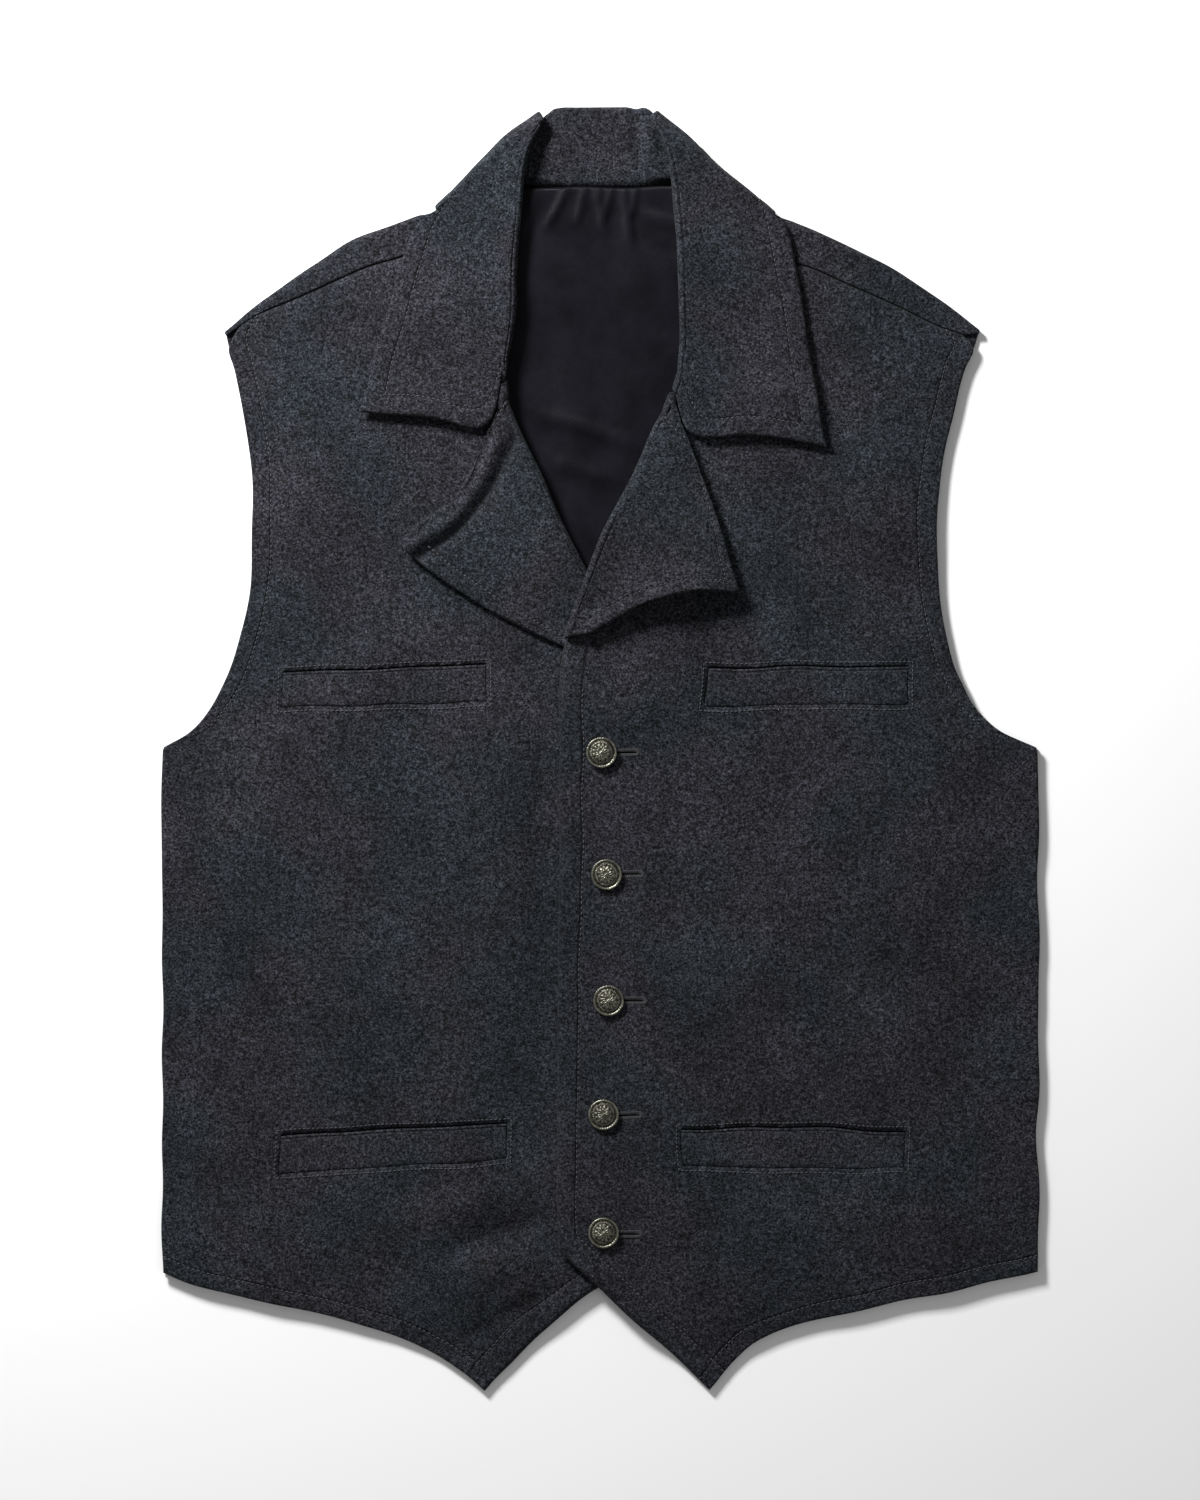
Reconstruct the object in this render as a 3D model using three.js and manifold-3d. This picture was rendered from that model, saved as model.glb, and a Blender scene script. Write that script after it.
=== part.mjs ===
// A western vest in wool, buttoned and laid flat on its back. Millimetres, +Z up, +Y towards the collar.
// The origin is on the ground under the middle of the vest. "Right" and "left" are the wearer's.
import * as THREE from 'three';
import { mergeVertices } from 'three/addons/utils/BufferGeometryUtils.js';
import Module from 'manifold-3d';

// Cloth and seams
const WOOL = 2.2;
const COLLAR_CLOTH = 2.4;
const LAPEL_CLOTH = 2.6;
const SATIN = 0.8;
const SEAM_GAP = 0.3;
const LAYER_GAP = 0.6;
const SIDE = 263;
const UNDERARM_Y = 1;
const HEM_SIDE_Y = -313;

// The collar's fold, seen in section: fall and stand turn about one line at this height
const FOLD_HEIGHT = 5.7;
const FALL_RADIUS = 4.5;
const STAND_RADIUS = 1.8;
const ROLL_RADIUS = 2.9;
const SHOULDER_RADIUS = 1.6;

// Buttons
const BUTTON_RADIUS = 9.2;
const BUTTON_RIM = 1.5;
const BUTTON_DOME = 3.4;
const SHANK_RADIUS = 1.3;
const BUTTONHOLE_LENGTH = 22;
const BUTTONHOLE_WIDTH = 3.2;
const BUTTON_PLACES = [
  { x: 0.9, y: -1.5 },
  { x: 3.9, y: -74.7 },
  { x: 5.1, y: -150.3 },
  { x: 2.1, y: -218.7 },
  { x: 2.1, y: -289.5 },
];

// Outlines, as x and y along each edge
const ARMHOLE_RIGHT = [
  [-SIDE, UNDERARM_Y], [-248, 10.5], [-234, 25], [-226, 39], [-218, 60], [-212, 83], [-208.5, 111],
  [-208.5, 150], [-212, 190], [-218.5, 226], [-223, 243], [-226.5, 253],
];
const ARMHOLE_LEFT = [
  [SIDE, UNDERARM_Y], [241, 10.5], [225.5, 25], [217.5, 39], [211, 54], [205.5, 83], [202.5, 111],
  [202.5, 150], [208, 183], [218.5, 226], [224.5, 241], [229, 252],
];
const SHOULDER_RIGHT = [[-226.5, 253], [-183, 284], [-159, 298.5], [-131, 312.5], [-111, 320], [-98.5, 324], [-69, 349.7]];
const SHOULDER_LEFT = [[229, 252], [183, 284], [156, 298.5], [130, 312], [116, 317.5], [103, 322.5], [69, 350]];
const BACK_NECK = [[-69, 350], [-57, 342], [-42, 336], [-24, 333.5], [5, 333], [33, 333.5], [48, 336], [59, 342], [69, 350]];
const SEAM_RIGHT = [[-216, 256.5], [-198, 265], [-162, 280.5], [-136.5, 291], [-117, 297], [-90, 308], [-68, 318]];
const SEAM_LEFT = [[218, 249], [201, 255], [180, 266], [150, 279], [129, 288], [111, 294], [90, 303], [68, 314]];
const HEM_RIGHT = [[-SIDE, HEM_SIDE_Y], [-238, -323], [-190, -334], [-142, -345.5], [-106, -359.5], [-82, -373.5], [-69, -384.8]];
const HEM_LEFT = [[SIDE, HEM_SIDE_Y], [229, -321], [181, -331], [133, -342.5], [97, -353], [80, -367], [65.5, -384.8]];
const POINT_RIGHT = [[-69, -384.8], [-58, -372], [-34.5, -349], [-10.5, -330], [0, -322.5], [15, -311], [30, -300]];
const POINT_LEFT = [[65.5, -384.8], [49.5, -369], [25.5, -347], [1.5, -325], [-11.5, -313.5], [-26, -300]];
const EDGE_UNDER = [[30, -300], [29, -150], [27, -60], [25, 25]];
const EDGE_OVER = [[-26, -300], [-25.5, -150], [-24, -30], [-22.5, 57]];
// Collar sections from the front end to the middle of the back: plan points across the fall (roll, quarter, mid,
// edge), the stand's lower edge, and how far the section is turned over the shoulder, in degrees.
const FOLD_RIGHT = { roll: [-34, 382], quarter: [-52.5, 366], mid: [-70, 351.5], edge: [-98, 323], neck: [-66, 355] };
const FOLD_LEFT = { roll: [32, 382], quarter: [48.5, 366], mid: [66, 351.5], edge: [104, 319], neck: [65, 355] };
const FOLD_TURNS = [0, 60, 120, 180];
const COLLAR_RIGHT = [
  { roll: [-59, 222], quarter: [-68, 194], mid: [-100, 199], edge: [-145, 203], neck: [-65, 219], turn: 0 },
  { roll: [-57, 232], quarter: [-72, 212], mid: [-102, 210], edge: [-142, 212], neck: [-66, 229], turn: 0 },
  { roll: [-54, 249], quarter: [-76, 238], mid: [-102, 232], edge: [-136, 234], neck: [-68, 246], turn: 0 },
  { roll: [-51, 270], quarter: [-74, 266], mid: [-98, 263], edge: [-127, 264], neck: [-70, 268], turn: 0 },
  { roll: [-49.5, 297], quarter: [-70, 293], mid: [-92, 291], edge: [-119, 293], neck: [-70.5, 294], turn: 0 },
  { roll: [-48, 330], quarter: [-66, 323], mid: [-87, 314], edge: [-113, 310], neck: [-66.5, 322], turn: 0 },
  { roll: [-43, 360], quarter: [-58, 349], mid: [-77, 334], edge: [-106, 318], neck: [-65.5, 343], turn: 0 },
  ...FOLD_TURNS.map((turn) => ({ ...FOLD_RIGHT, turn })),
  { roll: [-26, 383.4], quarter: [-35, 369], mid: [-45, 352], edge: [-62, 324], neck: [-45, 339.5], turn: 180 },
  { roll: [-12, 383.8], quarter: [-16, 369], mid: [-20, 351], edge: [-27, 324], neck: [-21, 334.8], turn: 180 },
];
const COLLAR_LEFT = [
  { roll: [45, 214], quarter: [54.5, 190], mid: [92, 189], edge: [136.5, 181.5], neck: [52, 211], turn: 0 },
  { roll: [48.5, 226], quarter: [64, 208], mid: [92, 203], edge: [133, 197], neck: [58, 222], turn: 0 },
  { roll: [49, 243], quarter: [66, 232], mid: [91, 226], edge: [129, 222], neck: [64, 239], turn: 0 },
  { roll: [48.5, 267], quarter: [67, 262], mid: [89, 260], edge: [123, 257], neck: [68, 264], turn: 0 },
  { roll: [47.5, 295], quarter: [66, 291], mid: [87, 289], edge: [117, 289], neck: [69.5, 291], turn: 0 },
  { roll: [46, 328], quarter: [64, 322], mid: [86, 313], edge: [113, 309], neck: [66.5, 320], turn: 0 },
  { roll: [41, 358], quarter: [57, 348], mid: [78, 334], edge: [109, 317], neck: [65.5, 343], turn: 0 },
  ...FOLD_TURNS.map((turn) => ({ ...FOLD_LEFT, turn })),
  { roll: [25, 383.4], quarter: [35, 369], mid: [47, 352], edge: [65, 324], neck: [46, 339.5], turn: 180 },
  { roll: [12, 383.8], quarter: [17, 369], mid: [22, 351], edge: [30, 324], neck: [24, 334.8], turn: 180 },
];

// Lapel sections from the collar down to the top button: plan points across, how far the edge stands up, and
// how round the roll is (1 full, 0 pressed flat)
const LAPEL_RIGHT = [
  { roll: [-57.5, 220], quarter: [-59.5, 209], mid: [-62, 199], edge: [-64.5, 189], lift: 0, puff: 0.7 },
  { roll: [-56, 210], quarter: [-62, 198], mid: [-69, 183], edge: [-75, 168], lift: 0, puff: 1 },
  { roll: [-52, 199], quarter: [-61, 184], mid: [-74, 164], edge: [-91, 145], lift: 0.5, puff: 1 },
  { roll: [-43, 179], quarter: [-60, 166], mid: [-84, 146], edge: [-118, 124], lift: 2, puff: 1 },
  { roll: [-27, 146], quarter: [-46, 138], mid: [-71, 127], edge: [-106, 111], lift: 1.5, puff: 1 },
  { roll: [-12, 114], quarter: [-29, 108], mid: [-50, 100], edge: [-78, 91], lift: 0.8, puff: 0.5 },
  { roll: [2, 84], quarter: [-8, 82], mid: [-23, 78], edge: [-48, 74], lift: 0.4, puff: 0 },
  { roll: [16, 54], quarter: [10, 54], mid: [1, 55], edge: [-16, 59], lift: 0, puff: 0 },
];
const LAPEL_LEFT = [
  { roll: [42.5, 211], quarter: [45.5, 202], mid: [48.5, 194], edge: [51.5, 186], lift: 0, puff: 0.7 },
  { roll: [39, 204], quarter: [47, 194], mid: [55, 178], edge: [63, 160], lift: 0, puff: 1 },
  { roll: [33, 193], quarter: [42, 180], mid: [55, 160], edge: [73, 132], lift: 0.5, puff: 1 },
  { roll: [25, 176], quarter: [37, 160], mid: [55, 136], edge: [79, 109], lift: 1.5, puff: 1 },
  { roll: [16, 157], quarter: [32, 142], mid: [54, 120], edge: [83.5, 94], lift: 4, puff: 1 },
  { roll: [5, 135], quarter: [18, 124], mid: [36, 111], edge: [61, 95], lift: 5.5, puff: 1 },
  { roll: [-6, 108], quarter: [3, 104], mid: [16, 98], edge: [36, 90], lift: 5.5, puff: 0.8 },
  { roll: [-14, 85], quarter: [-8, 84], mid: [0, 83], edge: [13, 80], lift: 4, puff: 0.5 },
  { roll: [-20, 66], quarter: [-17, 67], mid: [-13, 67.5], edge: [-7, 68], lift: 2, puff: 0.2 },
];
// How far in from the roll the lapel's turned-under edge ends
const LAPEL_TURN = 9;

// The inside of the neck, where the lining shows, from the back neck down to the V
const LINING_ROWS = [
  { y: 60, left: -16, right: 2 },
  { y: 90, left: -28, right: 14 },
  { y: 130, left: -44, right: 30 },
  { y: 170, left: -60, right: 48 },
  { y: 205, left: -70, right: 58 },
  { y: 245, left: -68, right: 60 },
  { y: 290, left: -63, right: 60 },
  { y: 331, left: -58, right: 57 },
];

// Pocket mouths and the welt under each: corners along the mouth, then the welt's height
const WELTS = {
  welt_upper_right: { front: 'right', mouth: [[-191, 47], [-130, 49], [-67.5, 50.5]], height: 22, slant: 0 },
  welt_upper_left: { front: 'left', mouth: [[65.5, 49.5], [125, 50], [185.5, 50]], height: 23, slant: -3 },
  welt_lower_right: { front: 'right', mouth: [[-191, -232.5], [-130, -228], [-56.5, -224]], height: 22, slant: -2 },
  welt_lower_left: { front: 'left', mouth: [[49.5, -228.5], [120, -227], [183.5, -229.5]], height: 22, slant: 0 },
};
const MOUTH_GAP = 1;

const wasm = await Module();
wasm.setup();

const WOOL_LOOK = { color: 0x3a3c42, roughness: 0.95, metalness: 0 };
const SATIN_LOOK = { color: 0x1e1e24, roughness: 0.45, metalness: 0 };
const METAL_LOOK = { color: 0x8d8878, roughness: 0.4, metalness: 0.9 };

const mix = (a, b, t) => a + (b - a) * t;
const clamp01 = (t) => Math.min(1, Math.max(0, t));
const ease = (t) => clamp01(t) ** 2 * (3 - 2 * clamp01(t));

// Evenly spaced plan points along a smooth line through the table's points
function spaced(points, count) {
  const line = new THREE.SplineCurve(points.map(([x, y]) => new THREE.Vector2(x, y)));
  return line.getSpacedPoints(count);
}

function joined(...lines) {
  return lines.flatMap((line, i) => (i ? line.slice(1) : line));
}

// A plan grid filled between four edges. Rows run from the low edge to the high one.
function coons(low, high, left, right) {
  const rows = left.length - 1;
  const columns = low.length - 1;
  const grid = [];
  for (let j = 0; j <= rows; j += 1) {
    const v = j / rows;
    const row = [];
    for (let i = 0; i <= columns; i += 1) {
      const u = i / columns;
      const at = (axis) => mix(low[i][axis], high[i][axis], v) + mix(left[j][axis], right[j][axis], u)
        - mix(mix(low[0][axis], low[columns][axis], u), mix(high[0][axis], high[columns][axis], u), v);
      row.push(new THREE.Vector3(at('x'), at('y'), 0));
    }
    grid.push(row);
  }
  return grid;
}

// A closed wall about a grid of middle points. Cells for which active() is false are left out.
function wall(grid, thickness, active = () => true) {
  const rows = grid.length - 1;
  const columns = grid[0].length - 1;
  const on = (j, i) => j >= 0 && i >= 0 && j < rows && i < columns && active(j, i);
  const positions = [];
  const outer = [];
  const inner = [];
  for (let j = 0; j <= rows; j += 1) {
    outer.push([]);
    inner.push([]);
    for (let i = 0; i <= columns; i += 1) {
      const normal = new THREE.Vector3();
      for (const [dj, di] of [[-1, -1], [-1, 0], [0, -1], [0, 0]]) {
        const [a, b] = [j + dj, i + di];
        if (!on(a, b)) continue;
        const across = grid[a + 1][b + 1].clone().sub(grid[a][b]);
        const back = grid[a + 1][b].clone().sub(grid[a][b + 1]);
        normal.add(across.cross(back));
      }
      normal.normalize().multiplyScalar(thickness / 2);
      const point = grid[j][i];
      outer[j].push(positions.length / 3);
      positions.push(point.x + normal.x, point.y + normal.y, point.z + normal.z);
      inner[j].push(positions.length / 3);
      positions.push(point.x - normal.x, point.y - normal.y, point.z - normal.z);
    }
  }
  const index = [];
  const quad = (a, b, c, d) => index.push(a, b, c, a, c, d);
  for (let j = 0; j < rows; j += 1) {
    for (let i = 0; i < columns; i += 1) {
      if (!on(j, i)) continue;
      const [n, m] = [j + 1, i + 1];
      quad(outer[j][i], outer[j][m], outer[n][m], outer[n][i]);
      quad(inner[j][i], inner[n][i], inner[n][m], inner[j][m]);
      if (!on(j - 1, i)) quad(outer[j][m], outer[j][i], inner[j][i], inner[j][m]);
      if (!on(j + 1, i)) quad(outer[n][i], outer[n][m], inner[n][m], inner[n][i]);
      if (!on(j, i - 1)) quad(outer[j][i], outer[n][i], inner[n][i], inner[j][i]);
      if (!on(j, i + 1)) quad(outer[n][m], outer[j][m], inner[j][m], inner[n][m]);
    }
  }
  return compact(positions, index);
}

// Drops the points that no face uses
function compact(positions, index) {
  const renumbered = new Map();
  const kept = [];
  for (const old of index) {
    if (renumbered.has(old)) continue;
    renumbered.set(old, kept.length / 3);
    kept.push(...positions.slice(3 * old, 3 * old + 3));
  }
  const geometry = new THREE.BufferGeometry();
  geometry.setAttribute('position', new THREE.Float32BufferAttribute(kept, 3));
  geometry.setIndex(index.map((old) => renumbered.get(old)));
  return geometry;
}

// The height of what has been laid so far, on a square raster over the plan
const CELL = 4;
const SPAN = { x: 290, y: 410 };
const RASTER = { x: Math.ceil((2 * SPAN.x) / CELL), y: Math.ceil((2 * SPAN.y) / CELL) };
class Pile {
  constructor(heights = new Float32Array(RASTER.x * RASTER.y)) {
    this.heights = heights;
  }

  copy() {
    return new Pile(this.heights.slice());
  }

  // Lays a grid of middle points on the pile: its upper face becomes the new height
  lay(grid, thickness, active = () => true) {
    for (let j = 0; j < grid.length - 1; j += 1) {
      for (let i = 0; i < grid[0].length - 1; i += 1) {
        if (!active(j, i)) continue;
        const [a, b, c, d] = [grid[j][i], grid[j][i + 1], grid[j + 1][i + 1], grid[j + 1][i]];
        this.layTriangle(a, b, c, thickness / 2);
        this.layTriangle(a, c, d, thickness / 2);
      }
    }
  }

  layTriangle(a, b, c, rise) {
    const area = (b.x - a.x) * (c.y - a.y) - (c.x - a.x) * (b.y - a.y);
    if (Math.abs(area) < 1e-6) return;
    const first = (v, span) => Math.max(0, Math.floor((v + span) / CELL) - 1);
    const last = (v, span, count) => Math.min(count - 1, Math.ceil((v + span) / CELL) + 1);
    const [x0, x1] = [Math.min(a.x, b.x, c.x), Math.max(a.x, b.x, c.x)];
    const [y0, y1] = [Math.min(a.y, b.y, c.y), Math.max(a.y, b.y, c.y)];
    for (let q = first(y0, SPAN.y); q <= last(y1, SPAN.y, RASTER.y); q += 1) {
      for (let p = first(x0, SPAN.x); p <= last(x1, SPAN.x, RASTER.x); p += 1) {
        const [x, y] = [p * CELL - SPAN.x, q * CELL - SPAN.y];
        const wb = ((x - a.x) * (c.y - a.y) - (c.x - a.x) * (y - a.y)) / area;
        const wc = ((b.x - a.x) * (y - a.y) - (x - a.x) * (b.y - a.y)) / area;
        if (wb < -0.01 || wc < -0.01 || wb + wc > 1.01) continue;
        const z = a.z + wb * (b.z - a.z) + wc * (c.z - a.z) + rise;
        const at = q * RASTER.x + p;
        this.heights[at] = Math.max(this.heights[at], z);
      }
    }
  }

  // A smooth cover over the pile: nothing within reach of a point stands above it there
  cover(reach, soften) {
    let heights = sweep(this.heights, Math.round((reach + soften) / CELL), Math.max);
    const sum = (a, b) => a + b;
    for (let pass = 0; pass < 2; pass += 1) {
      const cells = Math.round(soften / 2 / CELL);
      heights = sweep(heights, cells, sum).map((h) => h / (2 * cells + 1) ** 2);
    }
    return (x, y) => {
      const px = Math.min(RASTER.x - 2, Math.max(0, (x + SPAN.x) / CELL));
      const py = Math.min(RASTER.y - 2, Math.max(0, (y + SPAN.y) / CELL));
      const [p, q] = [Math.floor(px), Math.floor(py)];
      const at = (dp, dq) => heights[(q + dq) * RASTER.x + p + dp];
      return mix(mix(at(0, 0), at(1, 0), px - p), mix(at(0, 1), at(1, 1), px - p), py - q);
    };
  }
}

// Combines each raster cell with its neighbours out to a number of cells, along x and then along y
function sweep(heights, cells, combine) {
  let from = heights;
  for (const [count, step, lines, stride] of [
    [RASTER.x, 1, RASTER.y, RASTER.x],
    [RASTER.y, RASTER.x, RASTER.x, 1],
  ]) {
    const to = new Float32Array(from.length);
    for (let line = 0; line < lines; line += 1) {
      for (let k = 0; k < count; k += 1) {
        let value = null;
        for (let d = -cells; d <= cells; d += 1) {
          const at = Math.min(count - 1, Math.max(0, k + d));
          const here = from[line * stride + at * step];
          value = value === null ? here : combine(value, here);
        }
        to[line * stride + k * step] = value;
      }
    }
    from = to;
  }
  return from;
}

const model = new THREE.Group();
const walls = {};

function add(name, geometry, look) {
  const mesh = new THREE.Mesh(geometry, new THREE.MeshStandardMaterial(look));
  mesh.name = name;
  model.add(mesh);
}

// Plan points pushed sideways by a distance, to the right of the line's direction
function beside(points, distance) {
  return points.map(([x, y], i) => {
    const [a, b] = [points[Math.max(0, i - 1)], points[Math.min(points.length - 1, i + 1)]];
    const length = Math.hypot(b[0] - a[0], b[1] - a[1]);
    return [x + ((b[1] - a[1]) / length) * distance, y - ((b[0] - a[0]) / length) * distance];
  });
}

// The plan line across a collar or lapel section, from the roll to the edge
function across({ roll, quarter, mid, edge }) {
  return new THREE.SplineCurve([roll, quarter, mid, edge].map(([x, y]) => new THREE.Vector2(x, y)));
}

// Points along a folded section: the under leg up to the roll, round it, and the leaf out to its edge.
// leafAt and legAt give each leg's distance from the section's centre line, along the turned normal.
const ROLL_ARC = [-90, -45, 0, 45, 90];
const LEAF_STEPS = 7;
const LEG_STEPS = 2;
function foldedSection(section, side, centre, leafAt, legAt, legEnd) {
  const plan = across(section);
  const start = plan.getPoint(0);
  const along = plan.getPoint(1 / LEAF_STEPS).sub(start).normalize();
  const turn = THREE.MathUtils.degToRad(section.turn ?? 0);
  const outward = new THREE.Vector2(-along.y, along.x).multiplyScalar(side);
  const place = (point, offset) => new THREE.Vector3(
    point.x + outward.x * Math.sin(turn) * offset,
    point.y + outward.y * Math.sin(turn) * offset,
    centre + Math.cos(turn) * offset,
  );
  const [leaf, leg] = [leafAt(start, 0), legAt(start)];
  const radius = (leaf - leg) / 2;
  const points = [];
  for (let k = 0; k < LEG_STEPS; k += 1) {
    const t = k / LEG_STEPS;
    const point = new THREE.Vector2(mix(legEnd[0], start.x, t), mix(legEnd[1], start.y, t));
    points.push(place(point, legAt(point)));
  }
  for (const degrees of ROLL_ARC) {
    const angle = THREE.MathUtils.degToRad(degrees);
    const point = start.clone().addScaledVector(along, radius * (1 - Math.cos(angle)));
    points.push(place(point, (leaf + leg) / 2 + radius * Math.sin(angle)));
  }
  for (let k = 1; k <= LEAF_STEPS; k += 1) {
    const point = plan.getPoint(k / LEAF_STEPS);
    points.push(place(point, leafAt(point, k / LEAF_STEPS)));
  }
  return points;
}

function setHeights(grid, height) {
  for (const row of grid) {
    for (const point of row) point.z = height(point.x, point.y);
  }
}

const REACH = 20;
const SOFTEN = 16;
const pile = new Pile();

// The collar behind the neck goes down first
const FOLD_LEVELS = {
  leafAt: () => FALL_RADIUS,
  legAt: () => STAND_RADIUS,
};
const behind = [...COLLAR_RIGHT, ...[...COLLAR_LEFT].reverse()]
  .filter((section) => section.turn === 180)
  .map((section) => foldedSection(section, 1, FOLD_HEIGHT, FOLD_LEVELS.leafAt, FOLD_LEVELS.legAt, section.neck));
const FIRST_LEAF = LEG_STEPS + ROLL_ARC.length;
pile.lay(behind.map((points) => points.slice(FIRST_LEAF)), COLLAR_CLOTH);

// The back, with the rows that wrap forward over each shoulder to the seam
const SHOULDER_COLUMNS = 12;
const NECK_COLUMNS = 8;
const SIDE_ROWS = 12;
const ARMHOLE_ROWS = 11;
const WRAP_ARC = [-45, 0, 45, 90];
const WRAP_ROWS = 2;
const SHOULDER_INSET = SHOULDER_RADIUS + WOOL / 2;

function sideEdge(armhole, side) {
  return joined(
    spaced([[side * SIDE, HEM_SIDE_Y], [side * SIDE, UNDERARM_Y]], SIDE_ROWS),
    spaced(armhole, ARMHOLE_ROWS),
  );
}

const shoulderRight = beside(SHOULDER_RIGHT, SHOULDER_INSET);
const shoulderLeft = beside([...SHOULDER_LEFT].reverse(), SHOULDER_INSET);
const backNeck = [shoulderRight.at(-1), ...BACK_NECK.slice(1, -1), shoulderLeft[0]];
const backGrid = coons(
  spaced([[-SIDE, HEM_SIDE_Y], [SIDE, HEM_SIDE_Y]], 2 * SHOULDER_COLUMNS + NECK_COLUMNS),
  joined(
    spaced(shoulderRight, SHOULDER_COLUMNS),
    spaced(backNeck, NECK_COLUMNS),
    spaced(shoulderLeft, SHOULDER_COLUMNS),
  ),
  sideEdge([...ARMHOLE_RIGHT.slice(0, -1), shoulderRight[0]], -1),
  sideEdge([...ARMHOLE_LEFT.slice(0, -1), shoulderLeft.at(-1)], 1),
);
const overFall = pile.cover(REACH, SOFTEN);
const backLevel = (x, y) => WOOL / 2 + overFall(x, y) * (1 + SEAM_GAP / COLLAR_CLOTH);
setHeights(backGrid, backLevel);
pile.lay(backGrid, WOOL);

// The lining in the neck
const LINING_COLUMNS = 7;
const LINING_SPLIT = 2;
const liningGrid = [];
for (let j = 0; j <= (LINING_ROWS.length - 1) * LINING_SPLIT; j += 1) {
  const from = LINING_ROWS[Math.min(LINING_ROWS.length - 2, Math.floor(j / LINING_SPLIT))];
  const to = LINING_ROWS[LINING_ROWS.indexOf(from) + 1];
  const t = (j - LINING_ROWS.indexOf(from) * LINING_SPLIT) / LINING_SPLIT;
  const row = [];
  for (let i = 0; i <= LINING_COLUMNS; i += 1) {
    const x = mix(mix(from.left, to.left, t), mix(from.right, to.right, t), i / LINING_COLUMNS);
    row.push(new THREE.Vector3(x, mix(from.y, to.y, t), 0));
  }
  liningGrid.push(row);
}
const overBack = pile.cover(8, 8);
setHeights(liningGrid, (x, y) => overBack(x, y) + LAYER_GAP + SATIN / 2);
pile.lay(liningGrid, SATIN);
walls.back_lining = wall(liningGrid, SATIN);

function turnedEnd(section) {
  const plan = across(section);
  const start = plan.getPoint(0);
  const along = plan.getPoint(1 / LEAF_STEPS).sub(start).normalize();
  return start.addScaledVector(along, LAPEL_TURN).toArray();
}

// A front's plan: side and armhole, hem, point and front edge, turned lapel, neck and shoulder seam
const POINT_ROWS = 4;
const EDGE_ROWS = 8;
const HIDDEN_GAP = 1.8;
function frontGrid({ side, hem, point, edge, lapel, collar, seam, armhole }) {
  const turned = [...lapel].reverse().map(turnedEnd);
  const necks = collar.filter(({ turn, neck }) => turn === 0 && neck[1] < seam.at(-1)[1] - 4).map(({ neck }) => neck);
  const opening = beside([...turned, ...necks], side * HIDDEN_GAP);
  const inner = joined(
    spaced(point, POINT_ROWS),
    spaced([...edge, opening[0]], EDGE_ROWS),
    spaced([...opening, seam.at(-1)], SIDE_ROWS + ARMHOLE_ROWS - POINT_ROWS - EDGE_ROWS),
  );
  const outer = sideEdge([...armhole.slice(0, -1), seam[0]], side);
  const ends = [spaced(hem, SHOULDER_COLUMNS), spaced(seam, SHOULDER_COLUMNS)];
  if (side > 0) return coons(ends[0].reverse(), ends[1].reverse(), inner, outer);
  return coons(ends[0], ends[1], outer, inner);
}

// The under leg alone, laid on the pile so that the leaf clears it
function legGrid(sections, ends, level) {
  return sections.map(({ roll }, j) => [0, 0.5, 1].map((t) => {
    const [x, y] = [mix(roll[0], ends[j][0], t), mix(roll[1], ends[j][1], t)];
    return new THREE.Vector3(x, y, level(x, y));
  }));
}

function lapelGrid(sections, side, legLevel, leafLevel) {
  return sections.map((section) => {
    const [x, y] = section.roll;
    const low = (point) => legLevel(point.x, point.y);
    const bulge = () => Math.max(0, legLevel(x, y) + 2 * ROLL_RADIUS - leafLevel(x, y));
    const leafAt = (point, t) => Math.max(
      leafLevel(point.x, point.y) + section.lift * ease(2 * t - 1),
      leafLevel(point.x, point.y) + section.puff * bulge() * (1 - ease(2.5 * t)),
    );
    return foldedSection(section, side, 0, leafAt, low, turnedEnd(section));
  });
}

const RIGHT = {
  side: -1, hem: HEM_RIGHT, point: POINT_RIGHT, edge: EDGE_UNDER, lapel: LAPEL_RIGHT,
  collar: COLLAR_RIGHT, seam: SEAM_RIGHT, armhole: ARMHOLE_RIGHT,
};
const LEFT = {
  side: 1, hem: HEM_LEFT, point: POINT_LEFT, edge: EDGE_OVER, lapel: LAPEL_LEFT,
  collar: COLLAR_LEFT, seam: SEAM_LEFT, armhole: ARMHOLE_LEFT,
};

// A second pile without the lapels: the collar meets them edge to edge and doesn't lie on them
const panels = pile.copy();
const levels = {};
for (const [name, plan] of [['right', RIGHT], ['left', LEFT]]) {
  const under = pile.cover(REACH, SOFTEN);
  const level = (x, y) => under(x, y) + LAYER_GAP + WOOL / 2;
  levels[name] = level;
  const grid = frontGrid(plan);
  setHeights(grid, level);
  pile.lay(grid, WOOL);
  panels.lay(grid, WOOL);
  walls[`front_${name}`] = wall(grid, WOOL);
  pile.lay(legGrid(plan.lapel, plan.lapel.map(turnedEnd), level), LAPEL_CLOTH);
  const top = pile.cover(12, 12);
  const lapel = lapelGrid(plan.lapel, plan.side, level, (x, y) => top(x, y) + LAYER_GAP + LAPEL_CLOTH / 2);
  pile.lay(lapel.map((points) => points.slice(FIRST_LEAF - 1)), LAPEL_CLOTH);
  walls[`lapel_${name}`] = wall(lapel, LAPEL_CLOTH);
}

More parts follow.
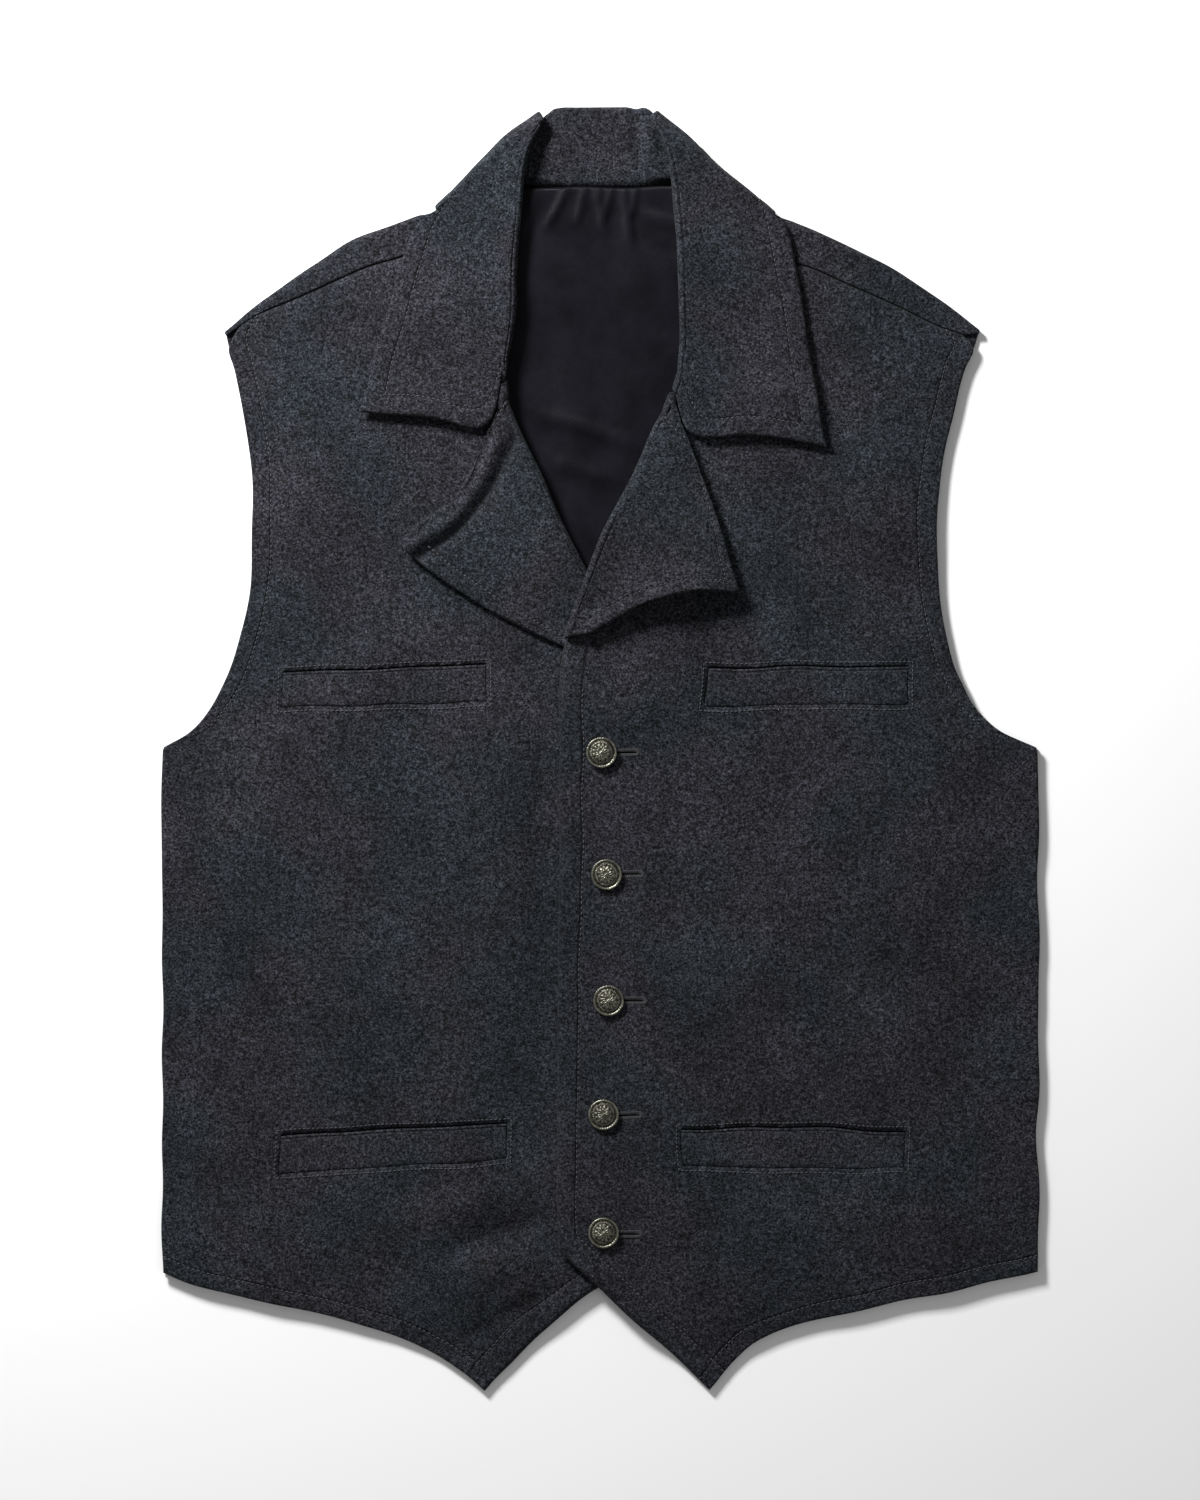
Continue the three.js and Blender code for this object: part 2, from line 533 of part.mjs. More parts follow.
// The back's wrapped rows: round the shoulder fold, then forward to the seam
function wrapColumn(base, outward, seamPoint, level) {
  const top = level(seamPoint.x, seamPoint.y);
  const radius = (top - base.z) / 2;
  const rows = WRAP_ARC.map((degrees) => {
    const angle = THREE.MathUtils.degToRad(degrees);
    return new THREE.Vector3(
      base.x + outward.x * radius * Math.cos(angle),
      base.y + outward.y * radius * Math.cos(angle),
      (top + base.z) / 2 + radius * Math.sin(angle),
    );
  });
  for (let k = 1; k <= WRAP_ROWS; k += 1) {
    const t = k / WRAP_ROWS;
    const goal = seamPoint.clone().addScaledVector(outward, SEAM_GAP + 0.1);
    rows.push(new THREE.Vector3(mix(base.x, goal.x, t), mix(base.y, goal.y, t), top));
  }
  return rows;
}

const lastRow = backGrid.at(-1);
const columnCount = lastRow.length - 1;
const wrapColumns = lastRow.map((base, i) => {
  const onRight = i <= SHOULDER_COLUMNS;
  const onLeft = i >= columnCount - SHOULDER_COLUMNS;
  if (!onRight && !onLeft) return Array.from({ length: WRAP_ARC.length + WRAP_ROWS }, () => base.clone());
  const seam = onRight ? spaced(SEAM_RIGHT, SHOULDER_COLUMNS) : spaced(SEAM_LEFT, SHOULDER_COLUMNS).reverse();
  const k = onRight ? i : i - (columnCount - SHOULDER_COLUMNS);
  const line = onRight ? spaced(shoulderRight, SHOULDER_COLUMNS) : spaced(shoulderLeft, SHOULDER_COLUMNS);
  const [a, b] = [line[Math.max(0, k - 1)], line[Math.min(SHOULDER_COLUMNS, k + 1)]];
  const outward = new THREE.Vector2(a.y - b.y, b.x - a.x).normalize();
  return wrapColumn(base, outward, seam[k], levels[onRight ? 'right' : 'left']);
});
const flatRows = backGrid.length - 1;
const backRows = [...backGrid];
for (let k = 0; k < WRAP_ARC.length + WRAP_ROWS; k += 1) backRows.push(wrapColumns.map((column) => column[k]));
const backCells = (j, i) => j < flatRows || i < SHOULDER_COLUMNS || i >= columnCount - SHOULDER_COLUMNS;
walls.back_panel = wall(backRows, WOOL, backCells);
panels.lay(backRows, WOOL, (j, i) => j > flatRows && backCells(j, i));

// The collar over the fronts and shoulders
function collarLevels(sections, side) {
  const level = levels[side];
  const folded = (section) => section.turn > 0;
  panels.lay(legGrid(
    sections.filter((section) => !folded(section)),
    sections.filter((section) => !folded(section)).map(({ neck }) => neck),
    level,
  ), COLLAR_CLOTH);
  const top = panels.cover(12, 12);
  return sections.map((section) => {
    if (folded(section)) return FOLD_LEVELS;
    const rise = (x, y) => top(x, y) + LAYER_GAP + COLLAR_CLOTH / 2 - FOLD_HEIGHT;
    const rolled = Math.max(STAND_RADIUS, level(...section.roll) - FOLD_HEIGHT + 2 * ROLL_RADIUS);
    return {
      leafAt: (point, t) => Math.max(rise(point.x, point.y), mix(rolled, rise(point.x, point.y), ease(2 * t))),
      legAt: (point) => level(point.x, point.y) - FOLD_HEIGHT,
    };
  });
}

const collarSides = [['right', COLLAR_RIGHT, -1], ['left', COLLAR_LEFT, 1]].map(([name, sections, side]) => {
  const sectionLevels = collarLevels(sections, name);
  return sections.map((section, j) => {
    const { leafAt, legAt } = sectionLevels[j];
    return foldedSection(section, side, FOLD_HEIGHT, leafAt, legAt, section.neck);
  });
});
const collarGrid = [...collarSides[0], ...collarSides[1].reverse()];
walls.collar = wall(collarGrid, COLLAR_CLOTH);

// Booleans
function solidOf(geometry) {
  const bare = geometry.clone();
  bare.deleteAttribute('normal');
  bare.deleteAttribute('uv');
  const merged = mergeVertices(bare, 1e-4);
  return new wasm.Manifold(new wasm.Mesh({
    numProp: 3,
    vertProperties: new Float32Array(merged.attributes.position.array),
    triVerts: new Uint32Array(merged.index.array),
  }));
}

function geometryOf(solid) {
  const mesh = solid.getMesh();
  const geometry = new THREE.BufferGeometry();
  geometry.setAttribute('position', new THREE.Float32BufferAttribute(mesh.vertProperties, 3));
  geometry.setIndex([...mesh.triVerts]);
  return geometry;
}

// An upright prism on a plan outline, tall enough to pass through any panel
const PRISM_HEIGHT = 60;
function prism(points) {
  const shape = new THREE.Shape(points.map(([x, y]) => new THREE.Vector2(x, y)));
  const geometry = new THREE.ExtrudeGeometry(shape, { depth: PRISM_HEIGHT, bevelEnabled: false });
  return solidOf(geometry.translate(0, 0, -PRISM_HEIGHT / 2));
}

// Welts: a strip of the front itself, parted from it all round and raised a little
const WELT_PROUD = 0.35;
function weltOutline({ mouth, height, slant }, margin, mouthMargin) {
  const [first, last] = [mouth[0], mouth.at(-1)];
  return [
    ...mouth.map(([x, y]) => [x, y + mouthMargin]).map(([x, y], i) => [
      x + (i === 0 ? -margin : i === mouth.length - 1 ? margin : 0), y,
    ]),
    [last[0] + margin, last[1] - height - margin],
    [first[0] + slant - margin, first[1] - height - margin],
  ];
}
for (const [name, welt] of Object.entries(WELTS)) {
  const front = solidOf(walls[`front_${welt.front}`]);
  const window = prism(weltOutline(welt, SEAM_GAP, MOUTH_GAP));
  walls[`front_${welt.front}`] = geometryOf(front.subtract(window));
  walls[name] = geometryOf(front.intersect(prism(weltOutline(welt, 0, 0)))).translate(0, 0, WELT_PROUD);
}

// Buttonholes, each with the button's shank at its end
const HOLE_SIDES = 6;
function holeOutline({ x, y }) {
  const radius = BUTTONHOLE_WIDTH / 2;
  const end = (cx, from) => Array.from({ length: HOLE_SIDES + 1 }, (_, k) => {
    const angle = from + (Math.PI * k) / HOLE_SIDES;
    return [cx + radius * Math.cos(angle), y + radius * Math.sin(angle)];
  });
  return [...end(x - radius / 2 + BUTTONHOLE_LENGTH, -Math.PI / 2), ...end(x, Math.PI / 2)];
}
let overFront = solidOf(walls.front_left);
for (const place of BUTTON_PLACES) overFront = overFront.subtract(prism(holeOutline(place)));
walls.front_left = geometryOf(overFront);

// A shank button: a domed face inside a raised rim, on a short shank
const BUTTON_SIDES = 24;
const RIM_WIDTH = 1.3;
function buttonGeometry(shank) {
  const profile = [
    [0, -shank], [SHANK_RADIUS, -shank], [SHANK_RADIUS, 0], [BUTTON_RADIUS - 1, 0],
    [BUTTON_RADIUS, BUTTON_RIM * 0.4], [BUTTON_RADIUS, BUTTON_RIM], [BUTTON_RADIUS - RIM_WIDTH / 2, BUTTON_RIM + 0.5],
    [BUTTON_RADIUS - RIM_WIDTH, BUTTON_RIM], [BUTTON_RADIUS * 0.6, BUTTON_DOME * 0.8], [0, BUTTON_DOME],
  ];
  return new THREE.LatheGeometry(profile.map(([r, z]) => new THREE.Vector2(r, z)), BUTTON_SIDES)
    .rotateX(Math.PI / 2);
}

const LOOKS = { back_lining: SATIN_LOOK };
for (const [name, geometry] of Object.entries(walls)) add(name, geometry, LOOKS[name] ?? WOOL_LOOK);
const SEAT_REACH = 1.5 * BUTTON_RADIUS;
const RIM_POINTS = Array.from({ length: 8 }, (_, k) => (Math.PI * k) / 4);
BUTTON_PLACES.forEach(({ x, y }, k) => {
  const rest = levels.right(x, y) + WOOL / 2 + SEAM_GAP;
  const seat = Math.max(...RIM_POINTS.map((angle) => levels.left(
    x + SEAT_REACH * Math.cos(angle),
    y + SEAT_REACH * Math.sin(angle),
  ))) + WOOL / 2 + SEAM_GAP;
  add(`button_${k + 1}`, buttonGeometry(seat - rest).translate(x, y, seat), METAL_LOOK);
});

export default model;
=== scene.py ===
"""A charcoal wool western vest, buttoned and laid flat on its back.

X is the viewer's right, Y is towards the collar, and "right" and "left" in names are the wearer's.
"""

import math

import bpy
import numpy as np
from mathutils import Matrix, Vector


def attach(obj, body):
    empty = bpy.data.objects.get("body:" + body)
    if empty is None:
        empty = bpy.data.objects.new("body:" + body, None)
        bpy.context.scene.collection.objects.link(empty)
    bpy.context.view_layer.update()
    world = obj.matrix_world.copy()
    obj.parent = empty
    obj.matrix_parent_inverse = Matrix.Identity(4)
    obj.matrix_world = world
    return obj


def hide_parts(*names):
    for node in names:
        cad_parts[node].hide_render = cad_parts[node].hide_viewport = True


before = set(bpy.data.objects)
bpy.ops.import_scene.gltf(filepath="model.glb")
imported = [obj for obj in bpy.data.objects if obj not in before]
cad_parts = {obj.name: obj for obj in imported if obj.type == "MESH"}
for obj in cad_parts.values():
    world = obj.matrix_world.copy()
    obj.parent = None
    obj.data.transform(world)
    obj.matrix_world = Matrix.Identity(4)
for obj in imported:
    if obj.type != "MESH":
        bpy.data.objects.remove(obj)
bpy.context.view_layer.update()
BODY = "root"
MM = 0.001
RNG = np.random.default_rng(7)

# Cloth
WOOL = 2.2
COLLAR_CLOTH = 2.4
LAPEL_CLOTH = 2.6
SATIN = 0.8
SEAM_GAP = 0.3
LAYER_GAP = 0.6
HIDDEN_GAP = 1.8
SIDE = 263.0
UNDERARM_Y = 1.0
HEM_SIDE_Y = -313.0
GRID = 2.7  # spacing of a cloth piece's points
EDGE_STEPS = np.array([0, 0.35, 0.9, 1.8, 3.2])  # distances of the points that round off a cloth's edge
EDGE_ROUND = 0.62  # how far in the rounding reaches, as a share of the cloth's thickness
UNEVEN = 0.9  # how far an edge strays from its smooth line

# Sewn lines: how far in from the front edge, the hem, the armhole and the edge of a collar or lapel
FRONT_LINE = 14.0
HEM_LINE = 9.5
ARMHOLE_LINE = 12.0
COLLAR_LINE = 12.0
SEAM_SINK = 0.7  # how far a front sinks at its shoulder seam
HEM_PUFF = 0.3  # how far the doubled cloth outside a front's sewn lines stands up
LEAF_PUFF = 0.55
WELT_PUFF = 0.35
NAP = 0.22  # small waves in the wool's face

# The collar's fold and the rolls
FOLD_HEIGHT = 5.7
FALL_RADIUS = 4.5
STAND_RADIUS = 1.8
ROLL_RADIUS = 2.9
SHOULDER_RADIUS = 1.6
LAPEL_TURN = 9.0
COLLAR_LIFT = 2.6  # how far the fall's two ends stand off the fronts
LAPEL_LEAF = 75  # the widest a lapel's leaf is, and the collar's
COLLAR_LEAF = 92

# The rolled rim along the upper edge of the right lapel: distance in from the edge, half width, height
RIM_CREST = (6, 4.4, 2.8)
RIM_TROUGH = (14, 3.6, -1.9)
RIM_FOOT = 124  # the rim runs up the edge from here

# Outlines, as x and y along each edge
ARMHOLE_RIGHT = [
    (-SIDE, UNDERARM_Y), (-248, 10.5), (-234, 25), (-226, 39), (-218, 60), (-212, 83), (-208.5, 111),
    (-208.5, 150), (-212, 190), (-218.5, 226), (-223, 243), (-226.5, 253),
]
ARMHOLE_LEFT = [
    (SIDE, UNDERARM_Y), (241, 10.5), (225.5, 25), (217.5, 39), (211, 54), (205.5, 83), (202.5, 111),
    (202.5, 150), (208, 183), (218.5, 226), (224.5, 241), (229, 252),
]
SHOULDER_RIGHT = [
    (-226.5, 253), (-183, 284), (-159, 298.5), (-131, 312.5), (-111, 320), (-98.5, 324), (-69, 349.7),
]
SHOULDER_LEFT = [(229, 252), (183, 284), (156, 298.5), (130, 312), (116, 317.5), (103, 322.5), (69, 350)]
BACK_NECK = [
    (-69, 350), (-57, 342), (-42, 336), (-24, 333.5), (5, 333), (33, 333.5), (48, 336), (59, 342), (69, 350),
]
SEAM_RIGHT = [(-216, 256.5), (-198, 265), (-162, 280.5), (-136.5, 291), (-117, 297), (-90, 308), (-68, 318)]
SEAM_LEFT = [(218, 249), (201, 255), (180, 266), (150, 279), (129, 288), (111, 294), (90, 303), (68, 314)]
HEM_RIGHT = [
    (-SIDE, HEM_SIDE_Y), (-238, -323), (-190, -334), (-142, -345.5), (-106, -359.5), (-82, -373.5),
    (-69, -384.8),
]
HEM_LEFT = [
    (SIDE, HEM_SIDE_Y), (229, -321), (181, -331), (133, -342.5), (97, -353), (80, -367), (65.5, -384.8),
]
POINT_RIGHT = [(-69, -384.8), (-58, -372), (-34.5, -349), (-10.5, -330), (0, -322.5), (15, -311), (30, -300)]
POINT_LEFT = [(65.5, -384.8), (49.5, -369), (25.5, -347), (1.5, -325), (-11.5, -313.5), (-26, -300)]
EDGE_UNDER = [(30, -300), (29, -150), (27, -60), (25, 25)]
EDGE_OVER = [(-26, -300), (-25.5, -150), (-24, -30), (-22.5, 57)]

# Collar sections: roll, quarter, mid, edge, the stand's lower edge, and the turn over the back in degrees
FOLD_TURNS = (0, 20, 40, 60, 80, 100, 120, 140, 160, 180)
COLLAR_RIGHT = [
    ((-59, 222), (-68, 194), (-100, 199), (-145, 203), (-65, 219), 0),
    ((-57, 232), (-72, 212), (-102, 210), (-142, 212), (-66, 229), 0),
    ((-54, 249), (-76, 238), (-102, 232), (-136, 234), (-68, 246), 0),
    ((-51, 270), (-74, 266), (-98, 263), (-127, 264), (-70, 268), 0),
    ((-49.5, 297), (-70, 293), (-92, 291), (-119, 293), (-70.5, 294), 0),
    ((-48, 330), (-66, 323), (-87, 314), (-113, 310), (-66.5, 322), 0),
    ((-43, 360), (-58, 349), (-77, 334), (-106, 318), (-65.5, 343), 0),
    *[((-34, 379), (-52.5, 366), (-70, 351.5), (-98, 323), (-66, 355), turn) for turn in FOLD_TURNS],
    ((-26, 384.2), (-35, 369), (-45, 352), (-62, 324), (-45, 339.5), 180),
    ((-12, 384.8), (-16, 369), (-20, 351), (-27, 324), (-21, 334.8), 180),
]
COLLAR_LEFT = [
    ((45, 214), (54.5, 190), (92, 189), (136.5, 181.5), (52, 211), 0),
    ((48.5, 226), (64, 208), (92, 203), (133, 197), (58, 222), 0),
    ((49, 243), (66, 232), (91, 226), (129, 222), (64, 239), 0),
    ((48.5, 267), (67, 262), (89, 260), (123, 257), (68, 264), 0),
    ((47.5, 295), (66, 291), (87, 289), (117, 289), (69.5, 291), 0),
    ((46, 328), (64, 322), (86, 313), (113, 309), (66.5, 320), 0),
    ((41, 358), (57, 348), (78, 334), (109, 317), (65.5, 343), 0),
    *[((32, 379), (48.5, 366), (66, 351.5), (104, 319), (65, 355), turn) for turn in FOLD_TURNS],
    ((25, 384.2), (35, 369), (47, 352), (65, 324), (46, 339.5), 180),
    ((12, 384.8), (17, 369), (22, 351), (30, 324), (24, 334.8), 180),
]

# Lapel sections: roll, quarter, mid, edge, lift of the edge, and how round the roll is
LAPEL_RIGHT = [
    ((-58.0, 222.5), (-59.8, 210), (-62, 199), (-64.5, 189), 0, 0.7),
    ((-56, 210), (-62, 198), (-69, 183), (-75, 168), 0, 1),
    ((-52, 199), (-61, 184), (-74, 164), (-91, 145), 0.5, 1),
    ((-43, 179), (-60, 166), (-84, 146), (-118, 124), 2, 1),
    ((-27, 146), (-46, 138), (-71, 127), (-106, 111), 1.5, 1),
    ((-12, 114), (-29, 108), (-50, 100), (-78, 91), 0.8, 0.5),
    ((2, 84), (-8, 82), (-23, 78), (-48, 74), 0.4, 0),
    ((16, 54), (10, 54), (1, 55), (-16, 59), 0, 0),
]
LAPEL_LEFT = [
    ((43.8, 214), (46, 203), (48.5, 194), (51.5, 186), 0, 0.7),
    ((39, 204), (47, 194), (55, 178), (63, 160), 0, 1),
    ((33, 193), (42, 180), (55, 160), (73, 132), 0.5, 1),
    ((25, 176), (37, 160), (55, 136), (79, 109), 1.5, 1),
    ((16, 157), (32, 142), (54, 120), (83.5, 94), 4, 1),
    ((5, 135), (18, 124), (36, 111), (61, 95), 5.5, 1),
    ((-6, 108), (3, 104), (16, 98), (36, 90), 5.5, 0.8),
    ((-14, 85), (-8, 84), (0, 83), (13, 80), 4, 0.5),
    ((-20, 66), (-17, 67), (-13, 67.5), (-7, 68), 2, 0.2),
]

# The lining's rows in the open neck: y, left, right
LINING_ROWS = [
    (60, -16, 2), (90, -28, 14), (130, -44, 30), (170, -60, 48),
    (205, -70, 58), (245, -68, 60), (290, -63, 60), (338, -58, 57),
]

# Pockets: the front, the mouth from left to right, the welt's height and its slanting end
WELTS = {
    "welt_upper_right": ("right", [(-191, 47), (-130, 49), (-67.5, 50.5)], 22, 0),
    "welt_upper_left": ("left", [(65.5, 49.5), (125, 50), (185.5, 50)], 23, -3),
    "welt_lower_right": ("right", [(-191, -232.5), (-130, -228), (-56.5, -224)], 22, -2),
    "welt_lower_left": ("left", [(49.5, -228.5), (120, -227), (183.5, -229.5)], 22, 0),
}
MOUTH_GAP = 1.0
MOUTH_POINTS = 60
WELT_PROUD = 0.35
WELT_MARGIN = 2.6  # the stitches run this far outside the welt, and this far above its mouth
WELT_ABOVE = 3.2

# Buttons and buttonholes
BUTTON_RADIUS = 9.2
BUTTON_RIM = 1.5
BUTTON_DOME = 3.4
RIM_WIDTH = 1.3
SHANK_RADIUS = 1.3
RIM_HEIGHT = 0.62
ROPE_HEIGHT = 0.16
# The face's relief, as radius, half width, height
ROSETTE_HEART = (0, 1.1, 0.55)
ROSETTE_PETALS = (2.6, 1.15, 0.42)
ROSETTE_OUTER = (4.4, 1.0, 0.34)
BEADED_RING = (6.3, 0.42, 0.35)
BUTTON_WEAR = 0.035
BUTTON_PLACES = [(0.9, -1.5), (3.9, -74.7), (5.1, -150.3), (2.1, -218.7), (2.1, -289.5)]
BUTTONHOLE_LENGTH = 22.0
BUTTONHOLE_WIDTH = 3.2

# Threads
STITCH_PITCH = 3.1
WELT_PITCH = 2.6
STITCH_SHARE = 0.66  # of the pitch, that shows
STITCH_RADIUS = 0.31
THREAD_RISE = 0.1
HOLE_STITCHES = 84
HOLE_THREAD_RADIUS = 0.26

# Drape: soft ridges and troughs along a line, as x0, y0, x1, y1, half width, height
CREASES = {
    "right": [
        (-135, -286, -26, -258, 12, 2.6),
        (-104, -305, -25, -280, 8, -2.8),
        (-88, -326, -30, -297, 10, 1.6),
        (-82, -356, -8, -314, 6, -2.0),
        (-240, -70, -120, 60, 28, 2.6),
        (-250, -210, -165, -110, 26, -2.2),
        (-250, -300, -120, -265, 20, 1.2),
        (-66, -200, -60, 45, 18, 3.0),
        (-35, -240, -34, 50, 9, -1.8),
        (-205, 120, -110, 215, 24, 2.4),
        (-190, 75, -95, 130, 24, -2.2),
        (-160, -180, -80, -60, 24, 2.4),
    ],
    "left": [
        (60, -300, 190, -262, 16, 2.2),
        (100, -345, 45, -300, 12, 2.0),
        (235, -90, 110, 20, 28, 2.4),
        (250, -200, 150, -120, 26, -2.2),
        (70, -170, 130, -40, 24, 2.4),
        (42, -230, 44, 20, 14, -1.2),
        (200, 110, 105, 215, 24, 2.4),
        (190, 75, 95, 120, 24, -2.0),
        (75, 135, 150, 95, 16, 1.8),
        (245, -290, 130, -262, 20, 1.2),
    ],
    "lining": [
        (-18, 340, -34, 312, 2.8, 1.8),
        (-8, 340, -14, 314, 2.2, 1.5),
        (-2, 340, 3, 306, 2.6, 2.0),
        (7, 340, 2, 316, 2.0, 1.6),
        (13, 340, 19, 300, 3.0, 2.2),
        (22, 340, 18, 318, 2.2, 1.4),
        (-38, 340, -50, 306, 4, 1.5),
        (24, 322, 56, 312, 4, 1.6),
        (20, 309, 54, 302, 5, -1.2),
        (-45, 205, 30, 180, 5, 1.8),
        (-35, 175, 12, 160, 5, 1.5),
        (-14, 290, -10, 150, 12, 1.2),
        (25, 300, 18, 190, 14, 1.0),
    ],
    "collar": [
        (21, 388, 22, 346, 3.0, -2.3),
        (13, 388, 14, 346, 4.0, 1.6),
        (29, 388, 30, 346, 4.0, 1.7),
        (37, 388, 40, 348, 3.2, -2.0),
        (-20, 388, -22, 348, 6, 1.3),
        (-33, 388, -36, 350, 5, -1.2),
    ],
}


def ease(t):
    t = np.clip(t, 0, 1)
    return t * t * (3 - 2 * t)


def mix(a, b, t):
    return a + (b - a) * t


def hump(distance, centre, width, height=1):
    return height * np.exp(-(((distance - centre) / width) ** 2))


def cubic(a, b, c, d, t):
    """The point at t between b and c on a smooth line through a, b, c and d."""
    v0, v1 = (c - a) / 2, (d - b) / 2
    return (2 * b - 2 * c + v0 + v1) * t**3 + (-3 * b + 3 * c - 2 * v0 - v1) * t**2 + v0 * t + b


def smooth_line(points, per_span=24):
    """Dense points along a smooth line through the given ones."""
    p = np.array(points, float)
    padded = np.vstack([p[:1], p, p[-1:]])
    out = []
    for i in range(len(p) - 1):
        t = np.linspace(0, 1, per_span, endpoint=False)[:, None]
        out.append(cubic(*padded[i : i + 4], t))
    return np.vstack([*out, p[-1:]])


def along(line, fractions):
    """Points at these fractions of a dense line's length."""
    steps = np.r_[0, np.cumsum(np.linalg.norm(np.diff(line, axis=0), axis=1))]
    at = np.asarray(fractions) * steps[-1]
    return np.stack([np.interp(at, steps, line[:, k]) for k in range(line.shape[1])], axis=-1)


def chain(segments, fractions):
    """Points along segments laid end to end, each (points, share of the parameter)."""
    shares = np.array([share for _, share in segments], float)
    ends = np.r_[0, np.cumsum(shares) / shares.sum()]
    out = np.zeros((len(fractions), 2))
    for k, (points, _) in enumerate(segments):
        inside = (fractions >= ends[k]) & (fractions <= ends[k + 1])
        local = (fractions[inside] - ends[k]) / (ends[k + 1] - ends[k])
        out[inside] = along(smooth_line(points), local)
    return out


def stations(length, spacing, high=True):
    """Fractions along a length, closer together where the cloth's edge is rounded."""
    rim = EDGE_STEPS / length
    body = np.linspace(0, 1, int(length / spacing) + 1)
    end = 1 - rim[-1] * 1.2 if high else 1
    body = body[(body > rim[-1] * 1.2) & (body < end)]
    return np.unique(np.concatenate([body, rim, 1 - rim if high else [1.0]]))


def coons(low, high, left, right, u, v):
    """A plan grid between four edges, whose points are given at fractions u and v."""
    uu, vv = u[None, :, None], v[:, None, None]
    across_rows = mix(low[None], high[None], vv)
    across_columns = mix(left[:, None], right[:, None], uu)
    corners = mix(mix(low[0], low[-1], uu), mix(high[0], high[-1], uu), vv)
    return across_rows + across_columns - corners


class Pile:
    """The height of what has been laid so far, on a square raster over the plan."""

    CELL = 4.0
    SPAN = np.array([300.0, 420.0])

    def __init__(self, heights=None):
        shape = (2 * self.SPAN / self.CELL).astype(int)
        self.heights = np.zeros((shape[1], shape[0])) if heights is None else heights

    def copy(self):
        return Pile(self.heights.copy())

    def lay(self, points, rise):
        flat = points.reshape(-1, 3)
        cell = np.rint((flat[:, :2] + self.SPAN) / self.CELL).astype(int)
        np.maximum.at(self.heights, (cell[:, 1], cell[:, 0]), flat[:, 2] + rise)

    def cover(self, reach, soften):
        heights = self.heights
        for axis in (0, 1):
            heights = sweep(heights, round((reach + soften) / self.CELL), axis, np.maximum)
        cells = round(soften / 2 / self.CELL)
        for _ in range(2):
            for axis in (0, 1):
                heights = sweep(heights, cells, axis, np.add) / (2 * cells + 1)

        def sample(x, y):
            px = np.clip((np.asarray(x) + self.SPAN[0]) / self.CELL, 0, heights.shape[1] - 1.001)
            py = np.clip((np.asarray(y) + self.SPAN[1]) / self.CELL, 0, heights.shape[0] - 1.001)
            p, q = px.astype(int), py.astype(int)
            fx, fy = px - p, py - q
            low = mix(heights[q, p], heights[q, p + 1], fx)
            high = mix(heights[q + 1, p], heights[q + 1, p + 1], fx)
            return mix(low, high, fy)

        return sample


def sweep(heights, cells, axis, combine):
    """Combines each raster cell with its neighbours along one axis, out to a number of cells."""
    pad = [(0, 0), (0, 0)]
    pad[axis] = (cells, cells)
    wide = np.pad(heights, pad, mode="edge")
    out = None
    for k in range(2 * cells + 1):
        part = np.take(wide, range(k, k + heights.shape[axis]), axis=axis)
        out = part if out is None else combine(out, part)
    return out


def creases(name, x, y):
    """The height that a piece's soft folds add at plan points."""
    total = np.zeros_like(x, dtype=float)
    for x0, y0, x1, y1, width, height in CREASES[name]:
        length = math.hypot(x1 - x0, y1 - y0)
        ax, ay = (x1 - x0) / length, (y1 - y0) / length
        s = ((x - x0) * ax + (y - y0) * ay) / length
        d = (x - x0) * -ay + (y - y0) * ax
        total += height * np.exp(-((d / width) ** 2)) * np.exp(-(((s - 0.5) / 0.42) ** 4))
    return total


def grid_normals(points):
    """Unit normals of a grid of points, from its two directions."""
    du = np.gradient(points, axis=1)
    dv = np.gradient(points, axis=0)
    normal = np.cross(du, dv)
    return normal / np.maximum(np.linalg.norm(normal, axis=2, keepdims=True), 1e-9)


def edge_distances(points):
    """How far each grid point is from the start and end of its row, and of its column."""
    def runs(axis):
        steps = np.linalg.norm(np.diff(points, axis=axis), axis=2)
        pad = [(1, 0), (0, 0)] if axis == 0 else [(0, 0), (1, 0)]
        start = np.cumsum(np.pad(steps, pad), axis=axis)
        total = start[-1:, :] if axis == 0 else start[:, -1:]
        return start, total - start

    left, right = runs(1)
    low, high = runs(0)
    return left, right, low, high


ROUND = 2 * math.pi
WAVES = [(RNG.uniform(0.10, 0.30), RNG.uniform(0, ROUND), RNG.uniform(0, ROUND)) for _ in range(14)]


def ripple(x, y):
    """Uneven small waves, as in pressed wool, within about 1."""
    total = 0.0
    for wave, heading, phase in WAVES:
        total = total + np.sin(wave * (x * math.cos(heading) + y * math.sin(heading)) + phase)
    return total / 5


def settle(points):
    """Points moved a little in plan, so that no edge lies perfectly straight."""
    x, y = points[..., 0], points[..., 1]
    moved = points.copy()
    moved[..., 0] += UNEVEN * ripple(0.6 * x + 400, 0.6 * y)
    moved[..., 1] += UNEVEN * ripple(0.6 * x, 0.6 * y - 700)
    return moved


def build(name, vertices, faces, material, layers=None):
    """Makes a mesh object from points in millimetres."""
    mesh = bpy.data.meshes.new(name)
    mesh.from_pydata((np.asarray(vertices) * MM).tolist(), [], faces)
    mesh.validate()
    for key, values in (layers or {}).items():
        attribute = mesh.attributes.new(key, "FLOAT", "POINT")
        attribute.data.foreach_set("value", np.asarray(values, dtype=np.float32))
    mesh.polygons.foreach_set("use_smooth", [True] * len(mesh.polygons))
    mesh.materials.append(material)
    obj = bpy.data.objects.new(name, mesh)
    bpy.context.scene.collection.objects.link(obj)
    return obj


# A cell's four sides: the neighbour's row and column, and the side's two corners
CELL_SIDES = [
    (-1, 0, (0, 1), (0, 0)),
    (1, 0, (1, 0), (1, 1)),
    (0, -1, (0, 0), (1, 0)),
    (0, 1, (1, 1), (0, 1)),
]


